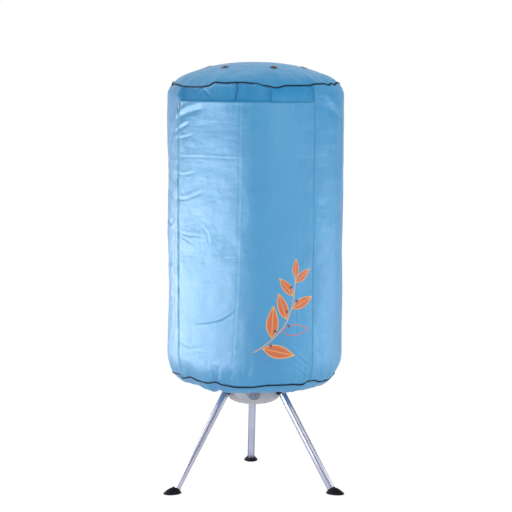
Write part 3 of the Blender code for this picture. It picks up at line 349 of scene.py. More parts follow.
@dataclass(frozen=True)
class PrintedNylon(Nylon):
    """The front panel's nylon, with a screen-printed sprig of leaves and berries low on its right."""

    name: str = "nylon_taffeta_printed"
    ink: Colour = (0.64, 0.115, 0.022)
    rim_ink: Colour = (0.82, 0.43, 0.045)
    berry_ink: Colour = (0.15, 0.012, 0.03)
    foot: Pair = (-0.007, 0.128)
    head: Pair = (0.135, 0.372)
    sag: float = 0.045
    leaf_count: int = 7
    leaf_reach: float = 0.054
    leaf_breadth: float = 0.02
    leaf_turn: float = math.radians(48)
    outline_every: int = 5
    stem_width: float = 0.0021
    berry_radius: float = 0.0052

    def stem_point(self, share: float) -> Vector:
        """Point of the bowed stem, a share of the way from its foot to its head."""
        foot, head = Vector(self.foot), Vector(self.head)
        side = Vector((head.y - foot.y, foot.x - head.x)).normalized()
        return foot.lerp(head, share) + side * self.sag * math.sin(math.pi * share)

    def stem_run(self, share: float) -> Vector:
        """A short run of the stem about a point of it."""
        return self.stem_point(share + 0.02) - self.stem_point(share - 0.02)

    @staticmethod
    def side_of(i: int) -> int:
        """Side of the stem on which the leaf or berry of that number is: 1 for left, -1 for right."""
        return 1 if i % 2 else -1

    def leaves(self) -> list[Leaf]:
        """The sprig's leaves, left and right in turn and smaller towards its head."""
        leaves = []
        for i in range(self.leaf_count):
            share = (i + 0.6) / self.leaf_count
            size = 1.15 - 0.5 * share
            along = self.stem_run(share)
            heading = math.atan2(along.y, along.x) + self.leaf_turn * self.side_of(i)
            reach = self.leaf_reach * size
            root = self.stem_point(share)
            middle = root + Vector((math.cos(heading), math.sin(heading))) * reach * 1.08
            filled = i % self.outline_every != 2
            leaves.append(Leaf(tuple(middle), heading, reach, self.leaf_breadth * size, filled))
        end = self.stem_point(1.0) - self.stem_point(0.96)
        heading = math.atan2(end.y, end.x)
        tip = self.stem_point(1.0) + Vector((math.cos(heading), math.sin(heading))) * self.leaf_reach * 0.6
        leaves.append(Leaf(tuple(tip), heading, self.leaf_reach * 0.62, self.leaf_breadth * 0.6))
        return leaves

    def leaf_form(self, graph: Graph, cloth: Wire, leaf: Leaf) -> tuple[Wire, Wire]:
        """How far inside a leaf the cloth lies, as a share of its breadth, and how far off its midrib."""
        along = Vector((math.cos(leaf.heading), math.sin(leaf.heading)))
        away = graph.vector("SUBTRACT", cloth, (*leaf.middle, 0))
        run = graph.vector("DOT_PRODUCT", away, (*(along / leaf.reach), 0), "Value")
        run = graph.maths("MINIMUM", run, 1.5)
        side = Vector((-along.y, along.x)) / leaf.breadth
        across = abs(graph.vector("DOT_PRODUCT", away, (*side, 0), "Value"))
        return (1 - run * run) * (1 - run * 0.3) - across, across

    def stem_form(self, graph: Graph, cloth: Wire) -> Wire:
        """Mask of the stem, a bow between its foot and its head."""
        foot, head = Vector(self.foot), Vector(self.head)
        along = (head - foot).normalized()
        away = graph.vector("SUBTRACT", cloth, (*foot, 0))
        run = graph.vector("DOT_PRODUCT", away, (*(along / (head - foot).length), 0), "Value")
        across = graph.vector("DOT_PRODUCT", away, (along.y, -along.x, 0), "Value")
        off = abs(across - graph.maths("SINE", run * math.pi) * self.sag)
        within = graph.span(abs(run - 0.5), 0.505, 0.495)
        return graph.span(off, self.stem_width, self.stem_width * 0.4) * within

    def prints(self, graph: Graph, cloth: Wire, base: Wire) -> Wire:
        """Colour of the cloth with the printed sprig on it."""
        base = graph.mix(self.stem_form(graph, cloth), base, self.rim_ink)
        for leaf in self.leaves():
            inside, across = self.leaf_form(graph, cloth, leaf)
            rim = graph.span(inside, -0.02, 0.05)
            fill = graph.span(inside, 0.14, 0.2)
            if leaf.filled:
                base = graph.mix(rim, base, self.rim_ink)
                base = graph.mix(fill * graph.span(across, 0.03, 0.08), base, self.ink)
            else:
                base = graph.mix(rim * (1 - fill), base, self.ink)
        for i in range(self.leaf_count - 1):
            share = (i + 1.3) / self.leaf_count
            along = self.stem_run(share)
            side = Vector((-along.y, along.x)).normalized() * self.side_of(i)
            middle = self.stem_point(share) + side * self.berry_radius * 2.6
            away = graph.vector("DISTANCE", cloth, (*middle, 0), "Value")
            inside = graph.span(away, self.berry_radius, self.berry_radius * 0.8)
            base = graph.mix(inside, base, self.berry_ink)
        return base


@dataclass(frozen=True)
class Cord:
    """Twisted cotton cord in a woven sleeve, as in a piped seam."""

    name: str = "piping_cord"
    colour: Colour = (0.006, 0.006, 0.012)
    worn: Colour = (0.022, 0.022, 0.03)
    lay: float = 0.0022
    twist_depth: float = 0.00018

    def material(self) -> bpy.types.Material:
        """Build the material."""
        graph = Graph(self.name)
        u, v, _ = graph.split(graph.cloth())
        twist = graph.maths("SINE", (u + v * 0.6) * (FULL_TURN / self.lay))
        dust = graph.noise(graph.place(), 160.0, 4.0)
        base = graph.mix(graph.span(dust, 0.5, 0.8), self.colour, self.worn)
        normal = graph.bump(twist, self.twist_depth)
        roughness = 0.62 + dust * 0.2
        return graph.dress({"Specular IOR Level": 0.25}, base=base, roughness=roughness, normal=normal)


@dataclass(frozen=True)
class Moulded:
    """Injection-moulded plastic with a spark-eroded grain and a little handling wear."""

    name: str
    colour: Colour
    shade: Colour
    roughness: float = 0.42
    grain: float = 0.00004
    grain_scale: float = 1400.0
    wear: float = 0.25

    def marks(self, graph: Graph, place: Wire, base: Wire) -> Wire:
        """Colour of the plastic with what is printed on it, which is nothing on most pieces."""
        return base

    def material(self) -> bpy.types.Material:
        """Build the material."""
        graph = Graph(self.name)
        place = graph.place()
        tone = graph.noise(place, 14.0, 4.0)
        scuffs = graph.noise(place, 260.0, 5.0, (1, 1, 0.15))
        base = graph.mix(graph.span(tone, 0.3, 0.75), self.colour, self.shade)
        base = graph.mix(graph.span(scuffs, 0.66, 0.78) * self.wear, base, self.shade)
        base = self.marks(graph, place, base)
        normal = graph.bump(graph.noise(place, self.grain_scale, 2.0), self.grain)
        roughness = self.roughness + (graph.span(tone, 0.2, 0.8) - 0.5) * 0.1
        roughness = roughness - graph.span(scuffs, 0.62, 0.8) * 0.08
        return graph.dress({"IOR": 1.5}, base=base, roughness=roughness, normal=normal)


@dataclass(frozen=True)
class Dial(Moulded):
    """The timer's ring, with a printed scale of short and long ticks round it."""

    height: float = 0.334
    ink: Colour = (0.055, 0.065, 0.1)
    inner: float = 0.0236
    outer: float = 0.0257
    tick_count: int = 24
    tick_share: float = 0.12
    fade: float = 0.0002

    def marks(self, graph: Graph, place: Wire, base: Wire) -> Wire:
        """Colour of the ring with its scale."""
        away = graph.vector("SUBTRACT", place, (0, 0, self.height))
        x, _, z = graph.split(away)
        radius = (x * x + z * z) ** 0.5
        turn = graph.maths("ARCTAN2", x, z) / FULL_TURN
        beat = abs(graph.maths("FRACT", turn * self.tick_count + 0.5) - 0.5)
        tick = graph.span(beat, self.tick_share, self.tick_share * 0.7)
        outside = graph.span(radius, self.inner - self.fade, self.inner)
        inside = graph.span(radius, self.outer + self.fade, self.outer)
        return graph.mix(tick * (outside * inside), base, self.ink)


@dataclass(frozen=True)
class Metal:
    """Bare or plated metal with drawing lines along one direction, and a thin film of oxide."""

    name: str
    colour: Colour
    film: Colour
    roughness: float = 0.28
    lines: Place = (1.0, 1.0, 0.02)
    line_scale: float = 900.0
    line_depth: float = 0.00001
    rim: Colour = (1.0, 1.0, 1.0)

    def material(self) -> bpy.types.Material:
        """Build the material."""
        graph = Graph(self.name)
        place = graph.place()
        film = graph.noise(place, 22.0, 5.0)
        lines = graph.noise(place, self.line_scale, 3.0, self.lines)
        base = graph.mix(graph.span(film, 0.35, 0.75), self.colour, self.film)
        roughness = self.roughness + (lines - 0.5) * 0.12 + graph.span(film, 0.4, 0.8) * 0.06
        metallic = 1 - graph.span(film, 0.62, 0.9) * 0.12
        normal = graph.bump(lines, self.line_depth)
        fixed = {"IOR": 1.5, "Specular Tint": (*self.rim, 1.0)}
        return graph.dress(fixed, base=base, roughness=roughness, metallic=metallic, normal=normal)


@dataclass(frozen=True)
class Rubber:
    """Matt rubber, with patches of dust and the fine skin of its mould."""

    name: str = "foot_rubber"
    colour: Colour = (0.008, 0.008, 0.012)
    dust: Colour = (0.026, 0.026, 0.032)
    skin_depth: float = 0.00008

    def material(self) -> bpy.types.Material:
        """Build the material."""
        graph = Graph(self.name)
        place = graph.place()
        dust = graph.noise(place, 70.0, 6.0)
        skin = graph.noise(place, 900.0, 3.0)
        base = graph.mix(graph.span(dust, 0.52, 0.85), self.colour, self.dust)
        roughness = 0.52 + graph.span(dust, 0.4, 0.8) * 0.25
        normal = graph.bump(skin, self.skin_depth)
        return graph.dress({"Specular IOR Level": 0.18}, base=base, roughness=roughness, normal=normal)


@dataclass(frozen=True)
class Ceramic:
    """Fired heater ceramic with a chalky, speckled skin."""

    name: str = "heater_ceramic"
    colour: Colour = (0.62, 0.55, 0.45)
    scorch: Colour = (0.3, 0.24, 0.19)
    grain_depth: float = 0.0002

    def material(self) -> bpy.types.Material:
        """Build the material."""
        graph = Graph(self.name)
        place = graph.place()
        speckle = graph.noise(place, 420.0, 4.0)
        scorch = graph.noise(place, 40.0, 4.0)
        burnt = graph.span(scorch, 0.5, 0.8) + graph.span(speckle, 0.7, 0.8) * 0.3
        base = graph.mix(burnt, self.colour, self.scorch)
        normal = graph.bump(speckle, self.grain_depth)
        return graph.dress({}, base=base, roughness=0.75 + speckle * 0.2, normal=normal)


class Finishes:
    """Every material of the dryer, made once each."""

    def __init__(self) -> None:
        """Build the materials."""
        self.nylon = Nylon().material()
        self.printed_nylon = PrintedNylon().material()
        # The header's nylon is a darker blue than the rest: painted shade for the recess over the door. It
        # also has less gloss.
        self.header_nylon_painted_shade = Nylon(
            name="nylon_header_painted_shade", colour=(0.014, 0.27, 0.57), deep=(0.011, 0.225, 0.5),
            thread=(0.026, 0.31, 0.62), gloss=0.4).material()
        self.cord = Cord().material()
        self.zip_tape = Nylon(
            name="zip_tape", colour=(0.09, 0.52, 0.74), deep=(0.07, 0.46, 0.67),
            thread=(0.12, 0.58, 0.78), roughness=0.6).material()
        self.zip_teeth = Moulded(
            "zip_teeth", (0.15, 0.64, 0.86), (0.12, 0.58, 0.8), roughness=0.4, wear=0.1).material()
        # The aluminium's grey is the metal's own. Its lilac cast is painted reflection of the blue cover and
        # the shaded floor, and its near-black edge tint is painted shade along each tube's outline.
        self.aluminium = Metal(
            "leg_aluminium", (0.56, 0.57, 0.71), (0.49, 0.5, 0.63), roughness=0.32,
            line_depth=0.000004, rim=(0.1, 0.11, 0.16)).material()
        self.rubber = Rubber().material()
        self.housing = Moulded("housing_grey", (0.57, 0.55, 0.58), (0.49, 0.47, 0.505)).material()
        self.dial = Dial("timer_dial", (0.8, 0.8, 0.82), (0.72, 0.72, 0.745)).material()
        self.knob = Moulded(
            "knob_grey", (0.3, 0.33, 0.42), (0.23, 0.255, 0.335), roughness=0.45).material()
        self.brass = Metal(
            "eyelet_brass", (0.36, 0.215, 0.14), (0.17, 0.1, 0.07), roughness=0.46,
            lines=(1, 1, 1), line_scale=500.0).material()
        self.steel = Metal(
            "plated_steel", (0.6, 0.6, 0.62), (0.47, 0.47, 0.49), roughness=0.3).material()
        self.ceramic = Ceramic().material()
        self.arm = Moulded(
            "arm_white", (0.78, 0.78, 0.76), (0.66, 0.66, 0.645), roughness=0.38).material()
        self.fan = Moulded(
            "fan_black", (0.03, 0.03, 0.036), (0.055, 0.055, 0.06), roughness=0.45).material()


# Bench: modelling steps that the rigid pieces share

def settle(
    piece: Piece, body: Body | str, slot: Slot, material: bpy.types.Material, *stands_for: str,
) -> Piece:
    """Give a finished piece its material and body.

    Args:
        piece: The piece, in place.
        body: The body that it rides on.
        slot: The record's finish that it takes; not used.
        material: Its material.
        stands_for: The CAD nodes that it replaces.

    Returns:
        The piece.
    """
    piece.data.materials.clear()
    piece.data.materials.append(material)
    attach(piece, body.value if isinstance(body, Body) else body)
    if stands_for:
        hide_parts(*stands_for)
    LOG.info("%s: %d faces", piece.name, len(piece.data.polygons))
    return piece


class Bench:
    """Steps of hand modelling, each on one object with everything else deselected."""

    @staticmethod
    def clear() -> None:
        """Deselect everything."""
        for obj in bpy.context.view_layer.objects:
            obj.select_set(False)

    @classmethod
    def pick(cls, *objects: Piece) -> Piece:
        """Select objects, the first one active."""
        cls.clear()
        for obj in objects:
            obj.select_set(True)
        bpy.context.view_layer.objects.active = objects[0]
        return objects[0]

    @staticmethod
    def put(name: str, data: bpy.types.ID) -> Piece:
        """A new object in the scene, with that mesh, camera or light."""
        obj = bpy.data.objects.new(name, data)
        bpy.context.scene.collection.objects.link(obj)
        return obj

    @staticmethod
    def drop(*objects: Piece) -> None:
        """Remove tools and seeds that have served."""
        for obj in objects:
            bpy.data.objects.remove(obj, do_unlink=True)

    @classmethod
    def lathe(cls, name: str, profile: Profile, sides: int = 64, closed: bool = False) -> Piece:
        """Turn a profile about Z: a ring is extruded from each point to the next.

        Args:
            name: The object's name.
            profile: Pairs of radius and height; a radius of zero closes a pole.
            sides: Faces round the turn.
            closed: Whether the last ring joins the first.

        Returns:
            The turned object.
        """
        cls.clear()
        radius, height = profile[0]
        start = max(radius, MICROMETRE)
        bpy.ops.mesh.primitive_circle_add(vertices=sides, radius=start, location=(0, 0, 0))
        obj = bpy.context.object
        obj.name = obj.data.name = name
        bpy.ops.object.mode_set(mode="EDIT")
        bpy.ops.mesh.select_all(action="SELECT")
        bpy.ops.transform.translate(value=(0, 0, height))
        stops = list(profile[1:]) + ([profile[0]] if closed else [])
        for next_radius, next_height in stops:
            next_radius = max(next_radius, MICROMETRE)
            bpy.ops.mesh.extrude_edges_move(TRANSFORM_OT_translate={"value": (0, 0, next_height - height)})
            scale = next_radius / start
            bpy.ops.transform.resize(value=(scale, scale, 1), center_override=(0, 0, next_height))
            start, height = next_radius, next_height
        cls.tidy()
        return obj

    @classmethod
    def rod(cls, name: str, radius: float, low: float, high: float, sides: int = 48) -> Piece:
        """A solid rod about Z, to cut or to join with."""
        return cls.lathe(name, [(0, low), (radius, low), (radius, high), (0, high)], sides)

    @staticmethod
    def tidy() -> None:
        """Merge doubles, turn the faces outwards and leave edit mode."""
        bpy.ops.mesh.select_all(action="SELECT")
        bpy.ops.mesh.remove_doubles(threshold=5 * MICROMETRE)
        bpy.ops.mesh.normals_make_consistent(inside=False)
        bpy.ops.object.mode_set(mode="OBJECT")

    @classmethod
    def block(cls, name: str, low: Place, high: Place) -> Piece:
        """A block between two corners."""
        cls.clear()
        low, high = Vector(low), Vector(high)
        bpy.ops.mesh.primitive_cube_add(size=1, location=(low + high) / 2, scale=high - low)
        obj = bpy.context.object
        obj.name = obj.data.name = name
        bpy.ops.object.transform_apply(location=True, rotation=True, scale=True)
        return obj

    @classmethod
    def stand(cls, obj: Piece, matrix: Matrix) -> Piece:
        """Put an object in its place and apply it."""
        cls.pick(obj)
        obj.matrix_world = matrix @ obj.matrix_world
        bpy.ops.object.transform_apply(location=True, rotation=True, scale=True)
        return obj

    @classmethod
    def apply(cls, obj: Piece, kind: str, **settings: object) -> Piece:
        """Add a modifier, set it and apply it."""
        cls.pick(obj)
        modifier = obj.modifiers.new(kind.lower(), kind)
        for key, value in settings.items():
            setattr(modifier, key, value)
        bpy.ops.object.modifier_apply(modifier=modifier.name)
        return obj

    @classmethod
    def join(cls, obj: Piece, *tools: Piece) -> Piece:
        """Join tools to an object as one solid."""
        return cls.carve(obj, "UNION", tools)

    @classmethod
    def cut(cls, obj: Piece, *tools: Piece) -> Piece:
        """Cut tools out of an object."""
        return cls.carve(obj, "DIFFERENCE", tools)

    @classmethod
    def carve(
        cls, obj: Piece, operation: str, tools: Iterable[Piece],
    ) -> Piece:
        """Apply a Boolean of each tool and remove the tool."""
        for tool in tools:
            cls.apply(obj, "BOOLEAN", operation=operation, object=tool)
            cls.drop(tool)
        return obj

    @classmethod
    def soften(
        cls, obj: Piece, width: float, segments: int = 2, angle: float = 32,
    ) -> Piece:
        """Round the sharp edges and shade the rest smooth."""
        if width:
            cls.apply(
                obj, "BEVEL", width=width, segments=segments, limit_method="ANGLE",
                angle_limit=math.radians(angle), use_clamp_overlap=True)
        cls.pick(obj)
        bpy.ops.object.shade_smooth_by_angle(angle=math.radians(angle))
        return obj

    @classmethod
    def copy(cls, obj: Piece, name: str) -> Piece:
        """A copy of an object with its own mesh."""
        twin = cls.put(name, obj.data.copy())
        twin.matrix_world = obj.matrix_world
        return twin

    @classmethod
    def from_node(cls, node: str, name: str, width: float) -> Piece:
        """A copy of a CAD node, merged, cleared of needless edges and with softened edges."""
        twin = cls.put(name, FRAME["nodes"][node].data.copy())
        cls.pick(twin)
        bpy.ops.object.mode_set(mode="EDIT")
        bpy.ops.mesh.select_all(action="SELECT")
        bpy.ops.mesh.remove_doubles(threshold=10 * MICROMETRE)
        bpy.ops.mesh.dissolve_limited(angle_limit=math.radians(1))
        bpy.ops.object.mode_set(mode="OBJECT")
        return cls.soften(twin, width)


def turned(azimuth: float) -> Matrix:
    """Turn about the mast that takes +X to the outward direction at an azimuth."""
    return Matrix.Translation(AXIS) @ Matrix.Rotation(azimuth - math.pi / 2, 4, "Z")


def around(azimuth: float, reach: float, height: float) -> Vector:
    """Point at an azimuth, so far from the mast, at a height."""
    return AXIS + Vector((math.sin(azimuth) * reach, -math.cos(azimuth) * reach, height))


def ring_points(azimuth: Array, radius: Array, height: Array) -> Array:
    """Points at azimuths, radii from the mast and heights, three numbers each."""
    return np.stack([
        radius * np.sin(azimuth) + AXIS.x, -radius * np.cos(azimuth) + AXIS.y, height,
    ], axis=-1)


def front_degrees(azimuth: Array) -> Array:
    """Azimuths in degrees, from -180 to 180."""
    return np.mod(np.degrees(azimuth) + 180, 360) - 180


def arc(centre: Pair, reach: Pair, start: float, end: float, steps: int) -> Profile:
    """Points of an elliptic arc, its angles in degrees."""
    points = []
    for i in range(steps + 1):
        angle = math.radians(start + (end - start) * i / steps)
        points.append((centre[0] + reach[0] * math.cos(angle), centre[1] + reach[1] * math.sin(angle)))
    return points


# Cover

@dataclass(frozen=True)
class Ripple:
    """Smooth noise over the drum's wall that repeats once round it."""

    seed: int
    round_count: int
    height_step: float
    reach: float = 2.0

    def __call__(self, azimuth: Array, height: Array) -> Array:
        """Noise, about -1 to 1, at azimuths and heights."""
        rows = math.ceil(self.reach / self.height_step) + 2
        angles = np.random.default_rng(self.seed).uniform(0, FULL_TURN, (rows, self.round_count))
        u = np.mod(azimuth / FULL_TURN, 1.0) * self.round_count
        v = np.clip(height, 0, self.reach) / self.height_step
        i, j = np.floor(u).astype(int), np.floor(v).astype(int)
        fu, fv = u - i, v - j
        su, sv = (f * f * f * (f * (f * 6 - 15) + 10) for f in (fu, fv))
        total = np.zeros(np.broadcast(u, v).shape)
        for di, wu in ((0, 1 - su), (1, su)):
            for dj, wv in ((0, 1 - sv), (1, sv)):
                angle = angles[j + dj, (i + di) % self.round_count]
                total += wu * wv * (np.cos(angle) * (fu - di) + np.sin(angle) * (fv - dj))
        return total * 1.5


@dataclass(frozen=True)
class Crease:
    """A fold line in the wall, through points of azimuth in degrees and height."""

    points: tuple[Pair, ...]
    width: float
    depth: float
    lip: float = 0.0
    fade: float = 0.3


@dataclass
class CoverShape:
    """The cover's outer face, as a function of azimuth and of distance along the cloth from its top."""

    radius: float = 0.3
    top: float = 1.4605
    roof_drop: float = 0.0755
    roof_power: float = 2.3
    roof_edge_power: float = 14.0
    roof_edge_share: float = 0.15
    top_seam_inset: float = 0.017
    shoulder_drop: float = 0.04
    door_top_drop: float = 0.014
    taper_rise: float = 0.084
    bottom_seam_inset: float = 0.0196
    bottom_seam_height: float = 0.386
    lip_inset: float = 0.06
    skirt_drop: float = 0.0235
    hem_radius: float = 0.1266
    hem_height: float = 0.38
    zip_azimuth: float = math.radians(-58.5)
    hinge_azimuth: float = math.radians(39)
    header_radius: float = 0.2825
    header_slack: float = 0.012
    header_flare: float = 0.02
    arm_room: float = 0.006
    ledge_gap: float = 0.0014
    top_swell: float = 0.0028
    header_right: float = 7.6
    door_lip: float = 0.0024
    foot_bend: float = math.radians(2.0)
    foot_bend_reach: float = 0.12
    foot_bend_at: Pair = (-58.5, 12)
    roof_pleat_reach: float = 0.115
    skirt_tuck: Pair = (0.01, 0.007)
    skirt_tuck_at: Pair = (-62, 15)
    belly: float = 0.0058
    poke: float = 0.0045
    outline_steps: int = 48
    top_wave: float = 0.0092
    bottom_wave: float = 0.01
    top_wave_shares: tuple[Pair, ...] = (
        (-85, -1), (-74, 0), (-68, -0.2), (-61, -0.7), (-54, -0.9), (-41, -0.9), (-35, -0.5), (-29, 0.9),
        (-22, 0.7), (-11, 0.95), (-1, 0.6), (4, -0.15), (12.5, -0.85), (19, -0.1), (36, 0),
        (43, 0.5), (51, 0.6), (56.5, 0.05), (60.5, 0.65), (65, 0), (73, 0.9), (86, 0.45),
        (115, -0.5), (140, 0.5), (165, -0.2), (190, 0.6), (215, -0.6), (240, 0.4), (258, 0.6), (275, -0.6),
    )
    bottom_wave_shares: tuple[Pair, ...] = (
        (-73, 1.3), (-65, 1.8), (-60, 0.9), (-50, 1.9), (-42, 1.2), (-35, 0.9), (-28, 1.5), (-22, 0.8),
        (-13, 0.35), (-5, 0.45), (10, 1.1), (25, 0.95), (34, 0.5), (39, 1.4), (43, 1.4), (53, 0.3),
        (61, 0.2), (76, 0.9), (86, 0.8), (110, 1.4), (130, 0.5), (155, 1.3), (180, 0.6), (205, 1.5),
        (230, 0.6), (255, 1.5), (275, 0.7), (287, 1.3),
    )
    creases: tuple[Crease, ...] = tuple(Crease(*line) for line in (
        (((-10.6, 1.4), (-11.2, 1.014), (-12, 0.718), (-15, 0.44)), 0.0028, 0.0005, 0.0003, 0.1),
        (((-66, 1.146), (-40, 1.149), (-4, 1.147)), 0.0032, 0.0006, 0.0004, 0.2),
        (((-12, 1.147), (52, 1.149)), 0.003, 0.0003, 0.0002),
        (((-66, 1.258), (-50, 1.292), (-33, 1.314)), 0.01, 0.0028, 0.0024),
        (((-66, 1.218), (-54, 1.245), (-46, 1.262)), 0.0058, 0.0019, 0.001),
        (((-66, 1.202), (-52, 1.21), (-43, 1.224)), 0.0045, 0.0013, 0.0006),
        (((-66, 1.092), (-53, 1.086), (-42, 1.096)), 0.0045, 0.0009, 0.0005),
        (((-66, 1.002), (-50, 1.007), (-34, 1.04)), 0.0052, 0.0015, 0.001),
        (((-66, 0.897), (-49, 0.888), (-33, 0.886)), 0.0045, 0.0012, 0.0006),
        (((-60, 0.89), (-50, 0.872), (-41, 0.852)), 0.004, 0.0012, 0.0006),
        (((-40, 0.93), (-33.5, 0.9), (-32, 0.868), (-35.5, 0.82)), 0.0045, 0.001, 0.0006),
        (((-38, 0.925), (-39, 0.88), (-37.5, 0.83)), 0.0045, 0.0008, 0.0004),
        (
            ((-46, 0.586), (-30.5, 0.598), (-22.7, 0.61), (-16.5, 0.63), (-9, 0.662)),
            0.004, 0.001, 0.001),
        (((-62, 0.522), (-48, 0.505), (-36, 0.517)), 0.005, 0.0008, 0.0005),
        (((16, 0.552), (24, 0.51), (38, 0.446)), 0.0038, 0.0014, 0.0009),
        (((20, 0.47), (29, 0.44), (40, 0.396)), 0.0042, 0.0012, 0.0008),
        (((-34, 0.48), (-32, 0.43), (-31, 0.386)), 0.006, 0.0011, 0.0008),
        (((-24, 0.47), (-25, 0.42), (-28, 0.386)), 0.0065, 0.0014, 0.0009),
        (((-15, 0.45), (-18, 0.41), (-18, 0.386)), 0.0055, 0.001, 0.0006),
        (((-3, 0.47), (-6, 0.42), (-11, 0.386)), 0.006, 0.0011, 0.0008),
        (((12, 0.46), (6, 0.415), (3, 0.386)), 0.0055, 0.0014, 0.001),
        (((1.5, 1.33), (1, 1.18), (2.5, 1.03)), 0.02, 0.002, 0),
        (((2, 1.15), (9, 1.12), (18, 1.128)), 0.009, 0.001, 0.0005),
        (((0, 0.99), (10, 0.975), (20, 0.985)), 0.009, 0.001, 0.0005),
        (((39, 1.396), (31, 1.318)), 0.004, 0.0024, 0.0014),
        (((35.5, 1.374), (28.5, 1.31)), 0.004, 0.0018, 0.001),
        (((34, 1.33), (53, 1.306), (69.5, 1.272), (68, 1.17), (66, 1)), 0.014, 0.002, 0.001),
        (((37, 1.378), (50, 1.354), (60, 1.316)), 0.012, -0.003),
        (((24.5, 1.3), (25.5, 0.9), (27, 0.47)), 0.004, 0.0004, 0.0003, 0.1),
        (((55, 1.3), (56, 0.9), (54, 0.47)), 0.004, 0.0006, 0.0003, 0.1),
        (((-75, 1.32), (-77, 1.14), (-73, 1.01), (-76, 0.88)), 0.008, 0.002, 0.001),
        (((-62, 1.262), (-71, 1.195), (-84, 1.155)), 0.0065, 0.0018, 0.001),
        (((-62, 0.945), (-70, 0.915), (-84, 0.93)), 0.0065, 0.0022, 0.0012),
        (((-62, 0.765), (-70, 0.79), (-82, 0.77)), 0.0065, 0.0017, 0.0009),
        (((-64, 0.57), (-72, 0.52), (-82, 0.545)), 0.0065, 0.0017, 0.0009),
    ))
    header_creases: tuple[Crease, ...] = tuple(Crease(*line) for line in (
        (((-39.5, 1.382), (-50, 1.324)), 0.0038, -0.0022, 0, 0.1),
        (((-39, 1.378), (-28.5, 1.324)), 0.0048, 0.0028, 0, 0.15),
        (((-12.8, 1.4), (-15.4, 1.316)), 0.0026, 0.008, 0.0012, 0.05),
    ))

    def __post_init__(self) -> None:
        """Work out the outline and the noise."""
        points, self.marks = [], {}
        for mark, radius, height in self.stretches():
            share = np.linspace(0, 1, self.outline_steps + 1)
            points.append(np.stack([radius(share), height(share)], axis=1))
            self.marks[mark] = sum(len(stretch) for stretch in points) - 1
        self.outline = np.concatenate(points)
        steps = np.linalg.norm(np.diff(self.outline, axis=0), axis=1)
        self.lengths = np.concatenate([[0.0], np.cumsum(steps)])
        self.broad = Ripple(3, 9, 0.26)
        self.middle = Ripple(11, 30, 0.085)
        self.small = Ripple(23, 75, 0.04)
        self.gathers = Ripple(31, 64, 0.3)
        self.fine_gathers = Ripple(37, 130, 0.12)

    def stretches(self) -> list[tuple[str, Callable, Callable]]:
        """The outline's stretches: the mark at each end, and its radius and height by share."""
        seam_radius = self.radius - self.top_seam_inset
        seam_height = self.top - self.roof_drop
        shoulder = seam_height - self.shoulder_drop
        door_top = shoulder - self.door_top_drop
        taper = self.bottom_seam_height + self.taper_rise
        bottom_radius = self.radius - self.bottom_seam_inset
        lip_radius = self.radius - self.lip_inset
        lip_height = self.bottom_seam_height - self.skirt_drop

        def line(start: float, end: float, ease: Callable = lambda t: t) -> Callable:
            return lambda t: start + (end - start) * ease(t)

        def ease_out(t: Array) -> Array:
            return 1 - (1 - t) ** 2

        def dome(t: Array) -> Array:
            edge = self.roof_edge_share
            return (1 - edge) * t ** self.roof_power + edge * t ** self.roof_edge_power

        return [
            ("top_seam", line(0, seam_radius), line(self.top, seam_height, dome)),
            ("shoulder", line(seam_radius, self.radius, ease_out), line(seam_height, shoulder)),
            ("door_top", line(self.radius, self.radius), line(shoulder, door_top)),
            ("taper", line(self.radius, self.radius), line(door_top, taper)),
            ("bottom_seam", line(self.radius, bottom_radius, lambda t: t ** 2),
             line(taper, self.bottom_seam_height)),
            ("lip", line(bottom_radius, lip_radius), line(self.bottom_seam_height, lip_height, ease_out)),
            ("hem", line(lip_radius, self.hem_radius), line(lip_height, self.hem_height, lambda t: t ** 2)),
        ]

    def distance(self, mark: str) -> float:
        """Length of cloth from the top to a mark."""
        return float(self.lengths[self.marks[mark]])

    @staticmethod
    def wave(azimuth: Array, shares: Sequence[Pair]) -> Array:
        """A seam's rise and fall round the drum, eased between the places that are given."""
        degrees, values = np.array(shares).T
        around = np.append(degrees, degrees[0] + 360)
        values = np.append(values, values[0])
        at = around[0] + np.mod(np.degrees(azimuth) - around[0], 360)
        i = np.clip(np.searchsorted(around, at, side="right") - 1, 0, len(around) - 2)
        share = (at - around[i]) / (around[i + 1] - around[i])
        return values[i] + (values[i + 1] - values[i]) * (1 - np.cos(np.pi * share)) / 2

    @staticmethod
    def bell(value: Array, middle: float, width: float) -> Array:
        """Share that is one at a middle and fades away from it."""
        return np.exp(-(((value - middle) / width) ** 2))

    @staticmethod
    def step(value: Array, low: float, high: float) -> Array:
        """Share that eases from nought at one value to one at another."""
        share = np.clip((value - low) / (high - low), 0, 1)
        return share * share * (3 - 2 * share)

    def crease_relief(
        self, creases: Sequence[Crease], azimuth: Array, height: Array,
    ) -> Array:
        """How far fold lines push the wall in or out."""
        degrees = front_degrees(azimuth)
        total = np.zeros(np.broadcast(azimuth, height).shape)
        metres = math.radians(1) * self.radius
        for crease in creases:
            near = np.full(total.shape, np.inf)
            side, place = np.zeros(total.shape), np.zeros(total.shape)
            done = 0.0
            for (a0, z0), (a1, z1) in zip(crease.points, crease.points[1:]):
                run, rise = (a1 - a0) * metres, z1 - z0
                x, z = (degrees - a0) * metres, height - z0
                along = np.clip((x * run + z * rise) / (run * run + rise * rise), 0, 1)
                dx, dz = x - along * run, z - along * rise
                gap = np.hypot(dx, dz)
                closer = gap < near
                side = np.where(closer, np.sign(run * dz - rise * dx) * gap, side)
                place = np.where(closer, done + along * math.hypot(run, rise), place)
                near = np.minimum(near, gap)
                done += math.hypot(run, rise)
            share = place / done
            fade = self.step(share, 0, crease.fade) * self.step(1 - share, 0, crease.fade)
            total -= fade * crease.depth * np.exp(-((side / crease.width) ** 2))
            total += fade * crease.lip * np.exp(-(((side - 1.8 * crease.width) / crease.width) ** 2))
        return total

